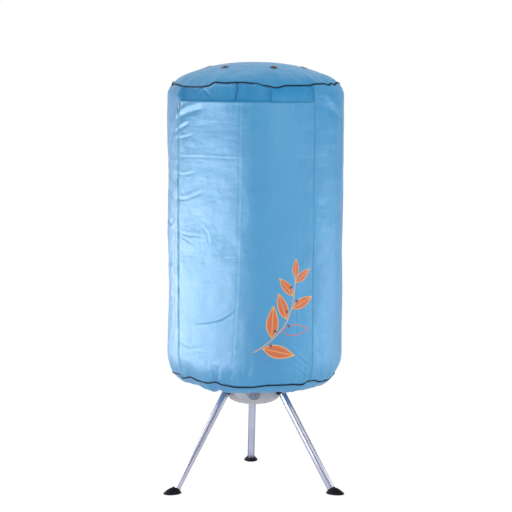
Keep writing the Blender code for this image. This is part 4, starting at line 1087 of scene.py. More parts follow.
    def header_recess(
        self, azimuth: Array, distance: Array, radius: Array, height: Array,
    ) -> Array:
        """How far the band over the door falls back, as it hangs straight down from the top seam.

        The recess has its pouches and fold lines, and keeps clear of an arm's tip.
        """
        degrees = front_degrees(azimuth)
        start, end = self.distance("top_seam"), self.distance("door_top")
        down = np.clip((distance - start) / (end - start), 0, 1)
        left = math.degrees(self.zip_azimuth) - 0.8 + 3.4 * down
        span = self.step(degrees, left, left + 1.6)
        span = span * (1 - self.step(degrees, self.header_right, self.header_right + 1.8))
        slack = 1.0 - 0.3 * self.step(degrees, -46, -38) + 0.35 * self.bell(degrees, 5.8, 2.6)
        tuck = self.header_slack * (1 - np.exp(-down / 0.3)) - self.header_flare * down
        fall = radius - self.header_radius + slack * tuck - self.arm_room * self.bell(degrees, 0, 3.4)
        fall = fall - self.crease_relief(self.header_creases, azimuth, height)
        return span * (fall - (fall - self.ledge_gap) * self.step(down, 0.93, 1.0))

    def wall_relief(self, azimuth: Array, distance: Array, height: Array) -> Array:
        """How far the wall stands out from its plain outline."""
        top, bottom = self.distance("top_seam"), self.distance("bottom_seam")
        degrees = front_degrees(azimuth)
        down = distance - top
        up = bottom - distance
        hang = np.sin(np.pi * np.clip(down / (bottom - top), 0, 1)) ** 0.5
        relief = 0.003 * hang * (np.cos(6 * azimuth) - 0.4) + self.top_swell * self.bell(height, 1.24, 0.16)
        relief += 0.0045 * hang * self.broad(azimuth, height)
        relief += 0.0016 * hang * self.middle(azimuth, height)
        left = self.step(degrees, -95, -80) * (1 - self.step(degrees, -66, -62))
        relief += (0.0004 + 0.0016 * left) * hang * self.small(azimuth, height)
        near_top = np.exp(-down / 0.055) * (1 - np.exp(-down / 0.01))
        near_bottom = np.exp(-up / 0.042) * (1 - np.exp(-up / 0.008))
        gathers = self.gathers(azimuth, height)
        relief += gathers * (0.0042 * near_top + 0.0068 * near_bottom)
        relief += self.fine_gathers(azimuth, height) * (0.0018 * near_top + 0.0038 * near_bottom)
        for seam, strength in ((self.zip_azimuth, 1.0), (self.hinge_azimuth, 0.5)):
            off = np.mod(azimuth - seam + math.pi, FULL_TURN) - math.pi
            beside = np.exp(-np.abs(off) * self.radius / 0.03)
            pull = self.small(azimuth * 0.6 + 1.3, height + 0.35 * np.abs(off))
            relief += 0.0022 * strength * beside * pull
            relief -= 0.0005 * strength * np.exp(-((off * self.radius / 0.007) ** 2))
        belly = self.step(down, 0.05, 0.3) * self.step(up, 0.0, 0.05) * self.bell(degrees, 84, 34)
        poke = self.bell(degrees, -72, 6.5) * self.bell(height, 0.683, 0.02)
        relief += self.belly * belly + self.poke * poke
        relief += self.crease_relief(self.creases, azimuth, height)
        lip = self.distance("door_top")
        front = self.step(degrees, -57.7, -54) * (1 - self.step(degrees, 4, 16))
        relief += self.door_lip * front * np.where(distance > lip, np.exp(-(distance - lip) / 0.012), 0)
        return relief

    def points(self, azimuth: Array, distance: Array, header: bool = False) -> Array:
        """Points of the cover's outer face.

        Args:
            azimuth: Azimuths, in radians.
            distance: Distances along the cloth from the top.
            header: Whether the band over the door is wanted, which falls back.

        Returns:
            An array of points, three numbers each, in the dryer's frame.
        """
        radius = np.interp(distance, self.lengths, self.outline[:, 0])
        height = np.interp(distance, self.lengths, self.outline[:, 1])
        top, bottom = self.distance("top_seam"), self.distance("bottom_seam")
        end = self.distance("hem")
        on_roof, on_wall = distance < top, (distance >= top) & (distance < bottom)
        degrees = front_degrees(azimuth)
        low = self.step(distance, bottom - self.foot_bend_reach, bottom)
        azimuth = azimuth + self.foot_bend * low * self.bell(degrees, *self.foot_bend_at)
        wall = self.wall_relief(azimuth, distance, height)
        if header:
            wall = wall - self.header_recess(azimuth, distance, radius, height)
        top_rise = self.top_wave * self.wave(azimuth, self.top_wave_shares)
        fade = np.where(on_roof, 0.09, 0.052)
        height = height + top_rise * np.clip(1 - np.abs(distance - top) / fade, 0, 1) ** 1.3
        bottom_rise = self.bottom_wave * self.wave(azimuth, self.bottom_wave_shares)
        fade = np.where(distance > bottom, 0.06, 0.11)
        height = height + bottom_rise * np.clip(1 - np.abs(distance - bottom) / fade, 0, 1) ** 1.3
        share = np.clip((top - distance) / self.roof_pleat_reach, 0, 1)
        roof = np.sin(np.pi * np.sqrt(share)) ** 2 * np.where(share < 1, 1, 0)
        gathers, fine = self.gathers(azimuth, distance * 1.4), self.fine_gathers(azimuth, distance)
        roof_lift = roof * (0.0024 * gathers + 0.001 * fine)
        outer = self.step(radius / self.radius, 0.25, 0.7) * share ** 0.5
        roof_lift += 0.0016 * self.middle(azimuth, distance * 2 + 0.4) * outer
        tuck = np.clip((distance - bottom) / (end - bottom), 0, 1)
        pleat = np.sin(np.pi * tuck) ** 0.8
        gathers, fine = self.gathers(azimuth, 0.5 + tuck * 0.05), self.fine_gathers(azimuth, 0.5)
        skirt_lift = pleat * (0.006 * gathers + 0.0035 * fine)
        skirt_lift += 0.0025 * pleat * self.middle(azimuth, distance)
        tucked = pleat * self.bell(degrees, *self.skirt_tuck_at)
        inward, upward = self.skirt_tuck
        radius = radius + np.where(on_wall, wall, 0) - inward * tucked
        height = height + upward * tucked
        height = height + np.where(on_roof, roof_lift, 0) - np.where(distance > bottom, skirt_lift, 0)
        return ring_points(azimuth, radius, height)


@dataclass
class Cover:
    """The nylon cover: its panels, corded seams, zip, eyelets and hem."""

    finishes: Finishes
    shape: CoverShape = field(default_factory=CoverShape)
    cloth: float = 0.0008
    seam_gap: float = 0.0003
    seam_tuck: float = 0.0014
    piping_radius: float = 0.00225
    piping_sides: int = 10
    piping_count: int = 720
    tape_width: float = 0.008
    back_right: float = math.radians(120)
    back_left: float = math.radians(210)
    front_step: float = 0.0033
    back_step: float = 0.0042
    hem_count: int = 240
    crown_gap: float = 0.0004
    door_bend: float = 0.03

    def lower_edge(self) -> float:
        """Distance along the cloth at which the door and the zip end, clear of the bottom cord."""
        return self.shape.distance("bottom_seam") - self.piping_radius - 2 * self.seam_gap

    def sheet_mesh(
        self, name: str, points: Array, flat: Array, edge: Array, along: Array,
    ) -> Piece:
        """Make a sheet of a grid of points.

        Args:
            name: The sheet's name.
            points: Points by row and column.
            flat: Each point's place on the flat cloth.
            edge: Each point's distance from the nearest sewn edge.
            along: Each point's distance along that edge.

        Returns:
            The sheet, open and one layer thick.
        """
        rows, columns = points.shape[:2]
        index = np.arange(rows * columns).reshape(rows, columns)
        corners = (index[:-1, :-1], index[:-1, 1:], index[1:, 1:], index[1:, :-1])
        quads = np.stack([corner.ravel() for corner in corners], axis=1)
        mesh = bpy.data.meshes.new(name)
        mesh.vertices.add(rows * columns)
        mesh.vertices.foreach_set("co", points.reshape(-1).astype(np.float32))
        mesh.loops.add(quads.size)
        mesh.loops.foreach_set("vertex_index", quads.ravel().astype(np.int32))
        mesh.polygons.add(len(quads))
        mesh.polygons.foreach_set("loop_start", np.arange(0, quads.size, 4, dtype=np.int32))
        mesh.update(calc_edges=True)
        layer = mesh.uv_layers.new(name="cloth")
        layer.data.foreach_set("uv", flat.reshape(-1, 2)[quads.ravel()].ravel().astype(np.float32))
        for key, values in (("edge", edge), ("along", along)):
            attribute = mesh.attributes.new(key, "FLOAT", "POINT")
            attribute.data.foreach_set("value", values.ravel().astype(np.float32))
        mesh.shade_smooth()
        return Bench.put(name, mesh)

    def thicken(self, obj: Piece) -> Piece:
        """Give a sheet its thickness, inwards."""
        return Bench.apply(obj, "SOLIDIFY", thickness=self.cloth, offset=-1, use_even_offset=False)

    def panel(
        self,
        name: str,
        span: Pair,
        run: Pair,
        step: float,
        header: bool = False,
    ) -> Piece:
        """One panel of the cover.

        Args:
            name: The panel's name.
            span: Its azimuths, left and right as seen from outside.
            run: Its distances along the cloth, the lower edge first.
            step: The mesh's step.
            header: Whether it is the band over the door.

        Returns:
            The panel.
        """
        shape = self.shape
        whole = abs(span[1] - span[0] - FULL_TURN) < MILLIMETRE
        columns = round((span[1] - span[0]) * shape.radius / step) + 1
        rows = max(4, round(abs(run[1] - run[0]) / step)) + 1
        gap = 0.0 if whole else self.seam_gap / 2 / shape.radius
        azimuth, distance = np.meshgrid(
            np.linspace(span[0] + gap, span[1] - gap, columns), np.linspace(run[0], run[1], rows))
        points = shape.points(azimuth, distance, header)
        bottom = shape.distance("bottom_seam")
        flat = np.stack([azimuth * shape.radius, bottom - distance], axis=-1)
        across = np.minimum(azimuth - span[0], span[1] - azimuth) * shape.radius
        if whole:
            across = np.full_like(azimuth, 1.0)
        ends = np.abs(np.stack([distance - d for d in run])).min(axis=0)
        edge = np.minimum(across, ends)
        along = np.where(across < ends, distance, azimuth * shape.radius)
        obj = self.sheet_mesh(name, points, flat, edge, along)
        if whole:
            self.close_round(obj)
        return self.thicken(obj)

    @staticmethod
    def close_round(obj: Piece) -> None:
        """Merge the two ends of a panel that goes all round, and its pole."""
        Bench.pick(obj)
        bpy.ops.object.mode_set(mode="EDIT")
        bpy.ops.mesh.select_all(action="SELECT")
        bpy.ops.mesh.remove_doubles(threshold=20 * MICROMETRE)
        bpy.ops.object.mode_set(mode="OBJECT")

    def wall(self) -> None:
        """The wall's fixed panels, the header and the door."""
        shape, finishes = self.shape, self.finishes
        low = shape.distance("bottom_seam") - self.seam_tuck
        high = shape.distance("top_seam") + self.seam_tuck
        door_top = shape.distance("door_top")
        tape = self.tape_width / 2 / shape.radius
        zip_left, zip_right = shape.zip_azimuth - tape, shape.zip_azimuth + tape
        hinge = shape.hinge_azimuth
        lines = {
            "side_right": (hinge, self.back_right, low, high, self.back_step, finishes.nylon),
            "back": (self.back_right, self.back_left, low, high, self.back_step, finishes.nylon),
            "side_left": (self.back_left, zip_left + FULL_TURN, low, high, self.back_step, finishes.nylon),
            # The header takes the nylon with painted shade.
            "header": (
                zip_left, hinge, door_top - self.seam_gap, high, self.front_step, finishes.header_nylon_painted_shade),
            "door": (
                zip_right, hinge, self.lower_edge(), door_top + self.seam_gap, self.front_step,
                finishes.printed_nylon),
        }
        for name, (start, end, bottom, top, step, material) in lines.items():
            door = name == "door"
            obj = self.panel(f"cover_{name}_cloth", (start, end), (bottom, top), step, name == "header")
            settle(obj, Body.DOOR if door else Body.FRAME, Slot.NYLON, material, f"cover_{name}")
            if door:
                self.bend_door(obj)

    def bend_door(self, door: Piece) -> None:
        """Take the door off its parent and bake its place into its mesh."""
        door.parent = None
        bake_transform(door)

    def roof(self) -> Piece:
        """The domed roof panel."""
        shape = self.shape
        edge = shape.distance("top_seam") - self.seam_tuck
        obj = self.panel("cover_roof_cloth", (0, FULL_TURN), (edge, self.crown_gap), self.back_step)
        settle(obj, Body.FRAME, Slot.NYLON, self.finishes.nylon, "cover_roof")
        return obj

    def skirt(self) -> Piece:
        """The bottom panel, gathered on to the elastic hem."""
        shape = self.shape
        start = shape.distance("bottom_seam") + self.seam_tuck
        end = shape.distance("hem")
        obj = self.panel("cover_skirt_cloth", (0, FULL_TURN), (end, start), self.back_step)
        settle(obj, Body.FRAME, Slot.NYLON, self.finishes.nylon, "cover_skirt")
        return obj

    def piping(self, name: str, mark: str) -> Piece:
        """A corded seam round the cover, following the cloth's edge."""
        azimuth = np.linspace(0, FULL_TURN, self.piping_count, endpoint=False)
        line = self.shape.points(azimuth, np.full_like(azimuth, self.shape.distance(mark)))
        return self.ring_tube(name, line, self.piping_radius, self.piping_sides)

    def ring_tube(self, name: str, line: Array, radius: float, sides: int) -> Piece:
        """A closed tube along a ring of points, with the cloth's UV map round and along it."""
        count = len(line)
        ahead = np.roll(line, -1, axis=0) - np.roll(line, 1, axis=0)
        ahead /= np.linalg.norm(ahead, axis=1)[:, None]
        out = line - [AXIS.x, AXIS.y, 0]
        out[:, 2] = 0
        out /= np.linalg.norm(out, axis=1)[:, None]
        out -= (out * ahead).sum(1)[:, None] * ahead
        out /= np.linalg.norm(out, axis=1)[:, None]
        up = np.cross(ahead, out)
        turns = np.linspace(0, FULL_TURN, sides, endpoint=False)
        rings = line[:, None] + radius * (
            np.cos(turns)[None, :, None] * out[:, None] + np.sin(turns)[None, :, None] * up[:, None])
        rings = np.concatenate([rings, rings[:1]])
        rings = np.concatenate([rings, rings[:, :1]], axis=1)
        steps = np.linalg.norm(np.diff(np.concatenate([line, line[:1]]), axis=0), axis=1)
        length = np.concatenate([[0], np.cumsum(steps)])
        flat = np.stack(np.broadcast_arrays(
            length[:, None], (np.linspace(0, FULL_TURN, sides + 1) * radius)[None, :]), axis=-1)
        nought = np.zeros((count + 1, sides + 1))
        obj = self.sheet_mesh(name, rings, flat, nought, nought)
        self.close_round(obj)
        bpy.ops.object.mode_set(mode="EDIT")
        Bench.tidy()
        return obj

    def seams(self) -> None:
        """The two corded seams and the hem's elastic."""
        for node, mark in (("piping_top", "top_seam"), ("piping_bottom", "bottom_seam")):
            cord = self.piping(f"{node}_cord", mark)
            settle(cord, Body.FRAME, Slot.PIPING, self.finishes.cord, node)
        azimuth = np.linspace(0, FULL_TURN, self.hem_count, endpoint=False)
        low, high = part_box("skirt_hem")
        thickness = (high.z - low.z) / 2
        radius = (high.x - low.x) / 2 - thickness
        line = ring_points(azimuth, radius, np.full_like(azimuth, (low.z + high.z) / 2))
        hem = self.ring_tube("skirt_hem_cord", line, thickness, self.piping_sides)
        settle(hem, Body.FRAME, Slot.PIPING, self.finishes.cord, "skirt_hem")

    def make(self) -> None:
        """Build the whole cover."""
        self.seams()
        self.wall()
        roof = self.roof()
        self.skirt()
        Zip(self).make()
        Eyelets(self, roof).make()


@dataclass
class Zip:
    """The door's zip: a half tape on each side, its teeth, and the slider with its pull."""

    cover: Cover
    tooth_pitch: float = 0.0026
    tooth_size: Place = (0.0017, 0.0011, 0.0013)
    tape_recess: float = 0.0002
    slider_size: Place = (0.0028, 0.006, 0.011)
    bridge_half: float = 0.0009
    bridge_rise: float = 0.0008
    pull_length: float = 0.024
    pull_width: float = 0.005
    pull_thickness: float = 0.0013

    def tape(self, side: int) -> Piece:
        """Half of the tape, left of the teeth for -1 and right of them for 1."""
        cover, shape = self.cover, self.cover.shape
        half = cover.tape_width / 2 / shape.radius
        span = sorted((shape.zip_azimuth, shape.zip_azimuth + side * half))
        azimuth, distance = np.meshgrid(
            np.linspace(*span, 4), np.linspace(cover.lower_edge(), shape.distance("door_top"), 300))
        points = shape.points(azimuth, distance)
        out = points - [AXIS.x, AXIS.y, 0]
        out[..., 2] = 0
        points = points - out / np.linalg.norm(out, axis=-1)[..., None] * self.tape_recess
        flat = np.stack([azimuth * shape.radius, -distance], axis=-1)
        edge = np.abs(azimuth - shape.zip_azimuth) * shape.radius
        name = "zip_tape_left" if side < 0 else "zip_tape_right"
        obj = cover.thicken(cover.sheet_mesh(name, points, flat, edge + 0.001, distance))
        body = Body.FRAME if side < 0 else Body.DOOR
        settle(obj, body, Slot.ZIP, cover.finishes.zip_tape, *(["zip_tape"] if side < 0 else []))
        return obj

    def teeth(self, side: int) -> Piece:
        """The row of moulded teeth on one half of the tape."""
        shape = self.cover.shape
        start, end = shape.distance("door_top"), self.cover.lower_edge()
        count = int((end - start) / self.tooth_pitch)
        deep, wide, tall = self.tooth_size
        seed = Bench.block("zip_tooth", (-deep / 2, -wide, -tall / 2), (deep / 2, wide * 0.35, tall / 2))
        Bench.apply(seed, "BEVEL", width=0.0003, segments=1)
        corners = np.array([v.co for v in seed.data.vertices])
        faces = [list(p.vertices) for p in seed.data.polygons]
        Bench.drop(seed)
        distance = start + (np.arange(count) + 0.5 + 0.25 * side) * self.tooth_pitch
        distance = distance[distance < end - tall]
        azimuth = np.full_like(distance, shape.zip_azimuth)
        seats = shape.points(azimuth, distance)
        turn = np.array(Matrix.Rotation(shape.zip_azimuth - math.pi / 2, 3, "Z"))
        tooth = corners * [1, -side, 1] @ turn.T
        points = (seats[:, None] + tooth[None]).reshape(-1, 3)
        order = [face[::-1] for face in faces] if side > 0 else faces
        indexes = [[i + k * len(corners) for i in face] for k in range(len(seats)) for face in order]
        name = "zip_teeth_left" if side < 0 else "zip_teeth_right"
        mesh = bpy.data.meshes.new(name)
        mesh.from_pydata(points.tolist(), [], indexes)
        body = Body.FRAME if side < 0 else Body.DOOR
        return settle(Bench.put(name, mesh), body, Slot.ZIP, self.cover.finishes.zip_teeth)

    def slider(self) -> Piece:
        """The slider with its bridge and its hanging pull."""
        low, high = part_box("zip_slider")
        deep, wide, tall = self.slider_size
        top = high.z
        body = Bench.block("zip_slider_body", (0, -wide / 2, top - tall), (deep, wide / 2, top))
        Bench.pick(body)
        bpy.ops.object.mode_set(mode="EDIT")
        bpy.ops.mesh.select_all(action="DESELECT")
        bpy.ops.object.mode_set(mode="OBJECT")
        for vertex in body.data.vertices:
            vertex.select = vertex.co.z < top - tall / 2
        bpy.ops.object.mode_set(mode="EDIT")
        bpy.ops.transform.resize(value=(1, 0.62, 1))
        bpy.ops.object.mode_set(mode="OBJECT")
        bridge = Bench.block(
            "bridge", (deep * 0.7, -self.bridge_half, top - tall * 0.8),
            (deep + self.bridge_rise, self.bridge_half, top - tall * 0.25))
        Bench.join(body, bridge)
        pull = Bench.block(
            "pull",
            (deep * 0.55, -self.pull_width / 2, low.z),
            (deep * 0.55 + self.pull_thickness, self.pull_width / 2, top - tall * 0.5))
        window = Bench.block(
            "window",
            (0, -self.pull_width * 0.22, low.z + self.pull_length * 0.16),
            (deep * 3, self.pull_width * 0.22, low.z + self.pull_length * 0.62))
        Bench.cut(pull, window)
        Bench.soften(pull, 0.00035)
        Bench.join(body, pull)
        Bench.soften(body, 0.0002, 1)
        seat = Vector((self.cover.shape.radius + 2 * self.cover.seam_gap, 0, 0))
        Bench.stand(body, turned(self.cover.shape.zip_azimuth) @ Matrix.Translation(seat))
        return settle(body, Body.SLIDER, Slot.STEEL, self.cover.finishes.steel, "zip_slider")

    def make(self) -> None:
        """Build both halves and the slider."""
        for side in (-1, 1):
            self.tape(side)
            self.teeth(side)
        self.slider()


@dataclass
class Eyelets:
    """The ring of brass vent eyelets in the roof, each a rolled flange over its barrel."""

    cover: Cover
    roof: Piece
    radius: float = 0.013
    bore: float = 0.0062
    barrel: float = 0.0078
    flange: float = 0.0013
    depth: float = 0.0027
    hole: float = 0.007
    edge: float = 0.0004
    lift: float = 0.0004
    slope_step: float = 0.004
    count: int = 6

    def seat(self, node: str) -> Matrix:
        """Place square to the roof, with +Z outwards, where the CAD has an eyelet."""
        low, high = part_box(node)
        out = (low + high) / 2 - AXIS
        out.z = 0
        azimuth = math.atan2(out.x, -out.y)
        shape = self.cover.shape
        roof = slice(shape.marks["top_seam"])
        distance = float(np.interp(out.length, shape.outline[roof, 0], shape.lengths[roof]))
        along = np.array([distance - self.slope_step, distance + self.slope_step])
        here, ahead = shape.points(np.array([azimuth, azimuth]), along)
        slope = Vector(ahead - here)
        tilt = math.atan2(-slope.z, math.hypot(slope.x, slope.y))
        matrix = Matrix.Translation(Vector((here + ahead) / 2))
        matrix = matrix @ Matrix.Rotation(azimuth - math.pi / 2, 4, "Z")
        return matrix @ Matrix.Rotation(tilt, 4, "Y")

    def make(self) -> None:
        """Turn one eyelet, set a copy of it in each place and punch the cloth there."""
        flange = self.flange
        low, reach = flange * 0.3, (flange, flange * 0.7)
        profile = [(self.bore, -self.depth), (self.bore, low)]
        profile += arc((self.bore + flange, low), reach, 180, 90, 4)
        profile += arc((self.radius - flange, low), reach, 90, 0, 5)
        profile += [(self.radius - self.edge, 0.0), (self.barrel, 0.0), (self.barrel, -self.depth)]
        seed = Bench.lathe("roof_eyelet_seed", profile, 40, closed=True)
        Bench.soften(seed, 0)
        punch = Bench.rod("eyelet_punch", self.hole, -self.depth, self.depth, 24)
        for i in range(1, self.count + 1):
            node = f"roof_eyelet_{i}"
            matrix = self.seat(node)
            eyelet = Bench.copy(seed, f"{node}_brass")
            Bench.stand(eyelet, matrix @ Matrix.Translation((0, 0, self.lift)))
            settle(eyelet, Body.FRAME, Slot.BRASS, self.cover.finishes.brass, node)
            Bench.cut(self.roof, Bench.stand(Bench.copy(punch, f"eyelet_punch_{i}"), matrix))
        Bench.drop(seed, punch)


# Tripod

@dataclass
class Tripod:
    """Three splayed legs, each plugged in a bush above and shod with a rubber foot."""

    finishes: Finishes
    ground_radius: float = 0.3137
    top_radius: float = 0.084548
    top_height: float = 0.372
    tube_radius: float = 0.0125
    tube_wall: float = 0.0015
    foot_circle: float = 0.32
    foot_length: float = 0.066
    foot_width: float = 0.05
    foot_height: float = 0.021
    foot_rim: float = 0.002
    foot_power: float = 1.6
    foot_rings: int = 16
    sole_bevel: Pair = (0.0008, 0.0006)
    collar_radius: float = 0.0146
    collar_low: float = 0.009
    collar_high: float = 0.0165
    collar_foot: float = 0.0012
    collar_mouth: Pair = (0.001, 0.0008)
    rib_count: int = 3
    rib_start_share: float = 0.3
    rib_step_share: float = 0.22
    rib_depth: float = 0.0003
    rib_height: float = 0.0012
    bore_length: float = 0.06
    tube_end: float = 0.0105
    tube_edge: float = 0.0004
    bush_radius: float = 0.0165
    bush_low: float = 0.327
    bush_head: float = 0.0015
    bush_edge: float = 0.0008
    leg_count: int = 3
    gap: float = 0.0003

    def point(self, height: float) -> Vector:
        """Point of a leg's axis at a height, with +X outward."""
        share = height / self.top_height
        return Vector((self.ground_radius + (self.top_radius - self.ground_radius) * share, 0, height))

    def along(self) -> Matrix:
        """Turn that takes +Z to the leg's axis, upwards."""
        return (self.point(self.top_height) - self.point(0)).to_track_quat("Z", "Y").to_matrix().to_4x4()

    def splay(self) -> float:
        """Angle between a leg and the upright."""
        return math.atan((self.ground_radius - self.top_radius) / self.top_height)

    def bush_top(self) -> float:
        """Height of the middle of a bush's upper end."""
        return self.top_height - self.bush_radius * math.sin(self.splay()) - self.bush_head

    def sleeve(
        self, name: str, outer: float, inner: float, low: float, high: float, edge: float,
    ) -> Piece:
        """A tube along the leg's axis between two heights, its rims rounded."""
        length = (self.point(high) - self.point(low)).length
        profile = [(outer, length * share) for share in (1, 0.66, 0.33, 0)] + [(inner, 0), (inner, length)]
        tube = Bench.lathe(name, profile, 48, closed=True)
        Bench.soften(tube, edge)
        return Bench.stand(tube, Matrix.Translation(self.point(low)) @ self.along())

    def foot(self) -> Piece:
        """An oval lens on a thin rim, with a ribbed collar square to its leg."""
        half, dome_height = self.foot_length / 2, self.foot_height - self.foot_rim
        bevel, bevel_height = self.sole_bevel
        profile = [
            (half * share, self.foot_rim + dome_height * (1 - share ** self.foot_power))
            for share in (i / self.foot_rings for i in range(self.foot_rings))]
        profile += [(half, self.foot_rim), (half, bevel_height), (half - bevel, 0), (0, 0)]
        foot = Bench.lathe("leg_foot_seed", profile, 64)
        Bench.stand(foot, Matrix.Diagonal((1, self.foot_width / self.foot_length, 1, 1)))
        Bench.stand(foot, Matrix.Translation((self.foot_circle, 0, 0)))
        low = self.point(self.collar_low)
        collar = Bench.lathe("collar", self.collar_profile(), 40)
        Bench.stand(collar, Matrix.Translation(low) @ self.along())
        Bench.join(foot, collar)
        bore = Bench.rod("bore", self.tube_radius + self.gap, 0, self.bore_length)
        place = Matrix.Translation(self.point(self.tube_end)) @ self.along()
        Bench.stand(bore, place @ Matrix.Translation((0, 0, -self.gap)))
        Bench.cut(foot, bore)
        return Bench.soften(foot, 0)

    def collar_profile(self) -> Profile:
        """Half section of the foot's collar, with its ribs."""
        length = (self.point(self.collar_high) - self.point(self.collar_low)).length
        valley = self.collar_radius - self.rib_depth
        profile = [(0, 0), (self.collar_radius - self.collar_foot, 0)]
        for i in range(self.rib_count):
            at = length * (self.rib_start_share + self.rib_step_share * i)
            profile += [
                (valley, at), (self.collar_radius, at + self.rib_height / 2), (valley, at + self.rib_height)]
        inset, drop = self.collar_mouth
        return profile + [(valley, length - drop), (self.collar_radius - inset, length), (0, length)]

    def make(self) -> None:
        """Build one leg's pieces and set a copy of each at its azimuth."""
        bush_top = self.bush_top()
        tube = self.sleeve(
            "leg_tube_seed", self.tube_radius, self.tube_radius - self.tube_wall,
            self.tube_end, bush_top - self.gap, self.tube_edge)
        bush = self.sleeve(
            "leg_bush_seed", self.bush_radius, self.tube_radius + self.gap,
            self.bush_low, bush_top, self.bush_edge)
        seeds = {
            "leg_tube": (tube, Slot.ALUMINIUM, self.finishes.aluminium),
            "leg_bush": (bush, Slot.RUBBER, self.finishes.rubber),
            "leg_foot": (self.foot(), Slot.RUBBER, self.finishes.rubber),
        }
        for i in range(self.leg_count):
            azimuth = math.pi + i * FULL_TURN / self.leg_count
            for node, (seed, slot, material) in seeds.items():
                piece = Bench.stand(Bench.copy(seed, f"{node}_{i + 1}_fine"), turned(azimuth))
                settle(piece, Body.FRAME, slot, material, f"{node}_{i + 1}")
        Bench.drop(*(seed for seed, _, _ in seeds.values()))


# Base

@dataclass
class Base:
    """The fan heater's housing: bowl, drum, outlet, timer and inlet."""

    finishes: Finishes
    tripod: Tripod
    bottom: float = 0.285
    radius: float = 0.094
    flat_radius: float = 0.03
    wall_low: float = 0.317
    top: float = 0.372
    wall: float = 0.003
    boss_radius: float = 0.0205
    boss_low: float = 0.338
    boss_overrun: float = 0.03
    bore_low: float = 0.25
    lid_reach: float = 0.2
    side_bore: Pair = (0.074, 0.114)
    timer_height: float = 0.334
    bezel_radius: float = 0.0265
    bezel_rim: float = 0.0035
    bezel_back: float = 0.084
    bezel_floor: float = 0.0935
    bezel_front: float = 0.0985
    bezel_hole: float = 0.0045
    bezel_fillet: float = 0.0008
    knob_radius: float = 0.0215
    knob_crown: float = 0.0185
    knob_front: float = 0.1045
    knob_bevel: float = 0.003
    knob_skirt: float = 0.006
    knob_wall: float = 0.002
    grip_width: float = 0.008
    grip_height: float = 0.006
    grip_length: float = 0.034
    shaft_radius: float = 0.003
    inlet_height: float = 0.34
    inlet_azimuth: float = math.radians(90)
    inlet_barrel: float = 0.008
    slot_count: int = 10
    slot_width: float = 0.005
    slot_inner: float = 0.016
    slot_outer: float = 0.05
    slot_overrun: float = 0.01
    screw_radius: float = 0.0022
    screw_head: float = 0.0012
    screw_sink: float = 0.001
    screw_ring: float = 0.079
    gap: float = 0.0003

    def bowl(self) -> Piece:
        """The lower housing, a drawn bowl with bosses for the legs and holes for what passes through."""
        reach = (self.radius - self.flat_radius, self.wall_low - self.bottom)
        centre = (self.flat_radius, self.wall_low)
        profile = [(0, self.bottom)] + list(arc(centre, reach, -90, 0, 16))
        profile += [(self.radius, self.top - 0.008), (self.radius, self.top)]
        inner_reach = (reach[0] - self.wall, reach[1] - self.wall)
        profile += [(self.radius - self.wall, self.top)]
        profile += list(arc(centre, inner_reach, 0, -90, 16)) + [(0, self.bottom + self.wall)]
        bowl = Bench.lathe("base_bowl_shell", profile, 96)
        bosses = self.leg_rods("boss", self.boss_radius, self.boss_low, self.top + self.boss_overrun)
        Bench.join(bowl, *bosses)
        wide = self.lid_reach
        lid = Bench.block("lid", (-wide, -wide, self.top), (wide, wide, self.top + wide))
        bush_bore = self.tripod.bush_radius + self.gap
        Bench.cut(bowl, lid, *self.leg_rods("bore", bush_bore, self.bore_low, self.tripod.bush_top()))
        timer = Bench.rod("timer_bore", self.bezel_radius + self.gap, *self.side_bore, 64)
        Bench.cut(bowl, Bench.stand(timer, self.forward(Vector())))
        sideways = Matrix.Rotation(self.inlet_azimuth - math.pi / 2, 4, "Z") @ Matrix.Translation(
            (0, 0, self.inlet_height)) @ Matrix.Rotation(math.pi / 2, 4, "Y")
        inlet = Bench.rod("inlet_bore", self.inlet_barrel + self.gap, *self.side_bore, 40)
        Bench.cut(bowl, Bench.stand(inlet, sideways))
        for i in range(self.slot_count):
            slot = Bench.block(
                "slot", (self.slot_inner, -self.slot_width / 2, self.bottom - self.slot_overrun),
                (self.slot_outer, self.slot_width / 2, self.bottom + self.slot_overrun))
            turn = Matrix.Rotation((i + 0.5) * FULL_TURN / self.slot_count, 4, "Z")
            Bench.cut(bowl, Bench.stand(slot, turn))
        Bench.soften(bowl, 0.0004, 2, 40)
        Bench.stand(bowl, Matrix.Translation(AXIS))
        return settle(bowl, Body.FRAME, Slot.HOUSING, self.finishes.housing, "base_bowl")

    def leg_rods(self, name: str, radius: float, low: float, high: float) -> list[Piece]:
        """A rod along each leg's axis between two heights."""
        tripod, rods = self.tripod, []
        length = (tripod.point(high) - tripod.point(low)).length
        for i in range(tripod.leg_count):
            turn = Matrix.Rotation(math.pi / 2 + i * FULL_TURN / tripod.leg_count, 4, "Z")
            place = turn @ Matrix.Translation(tripod.point(low)) @ tripod.along()
            rods.append(Bench.stand(Bench.rod(name, radius, 0, length), place))
        return rods

    def forward(self, mast: Vector = AXIS) -> Matrix:
        """Place of the timer's axis, with +Z to the front, for a mast at that place."""
        middle = mast + Vector((0, 0, self.timer_height))
        return Matrix.Translation(middle) @ Matrix.Rotation(math.pi / 2, 4, "X")

    def bezel(self) -> Piece:
        """The ring round the knob, dished inside, with its scale printed on the rim."""
        inner = self.bezel_radius - self.bezel_rim
        profile = [
            (self.bezel_hole, self.bezel_floor), (inner - self.bezel_fillet, self.bezel_floor),
            (inner, self.bezel_floor + self.bezel_fillet), (inner, self.bezel_front),
            (self.bezel_radius, self.bezel_front), (self.bezel_radius, self.bezel_back),
            (self.bezel_hole, self.bezel_back),
        ]
        ring = Bench.lathe("timer_bezel_ring", profile, 72, closed=True)
        Bench.soften(ring, 0.0005)
        Bench.stand(ring, self.forward())
        return settle(ring, Body.FRAME, Slot.HOUSING, self.finishes.dial, "timer_bezel")

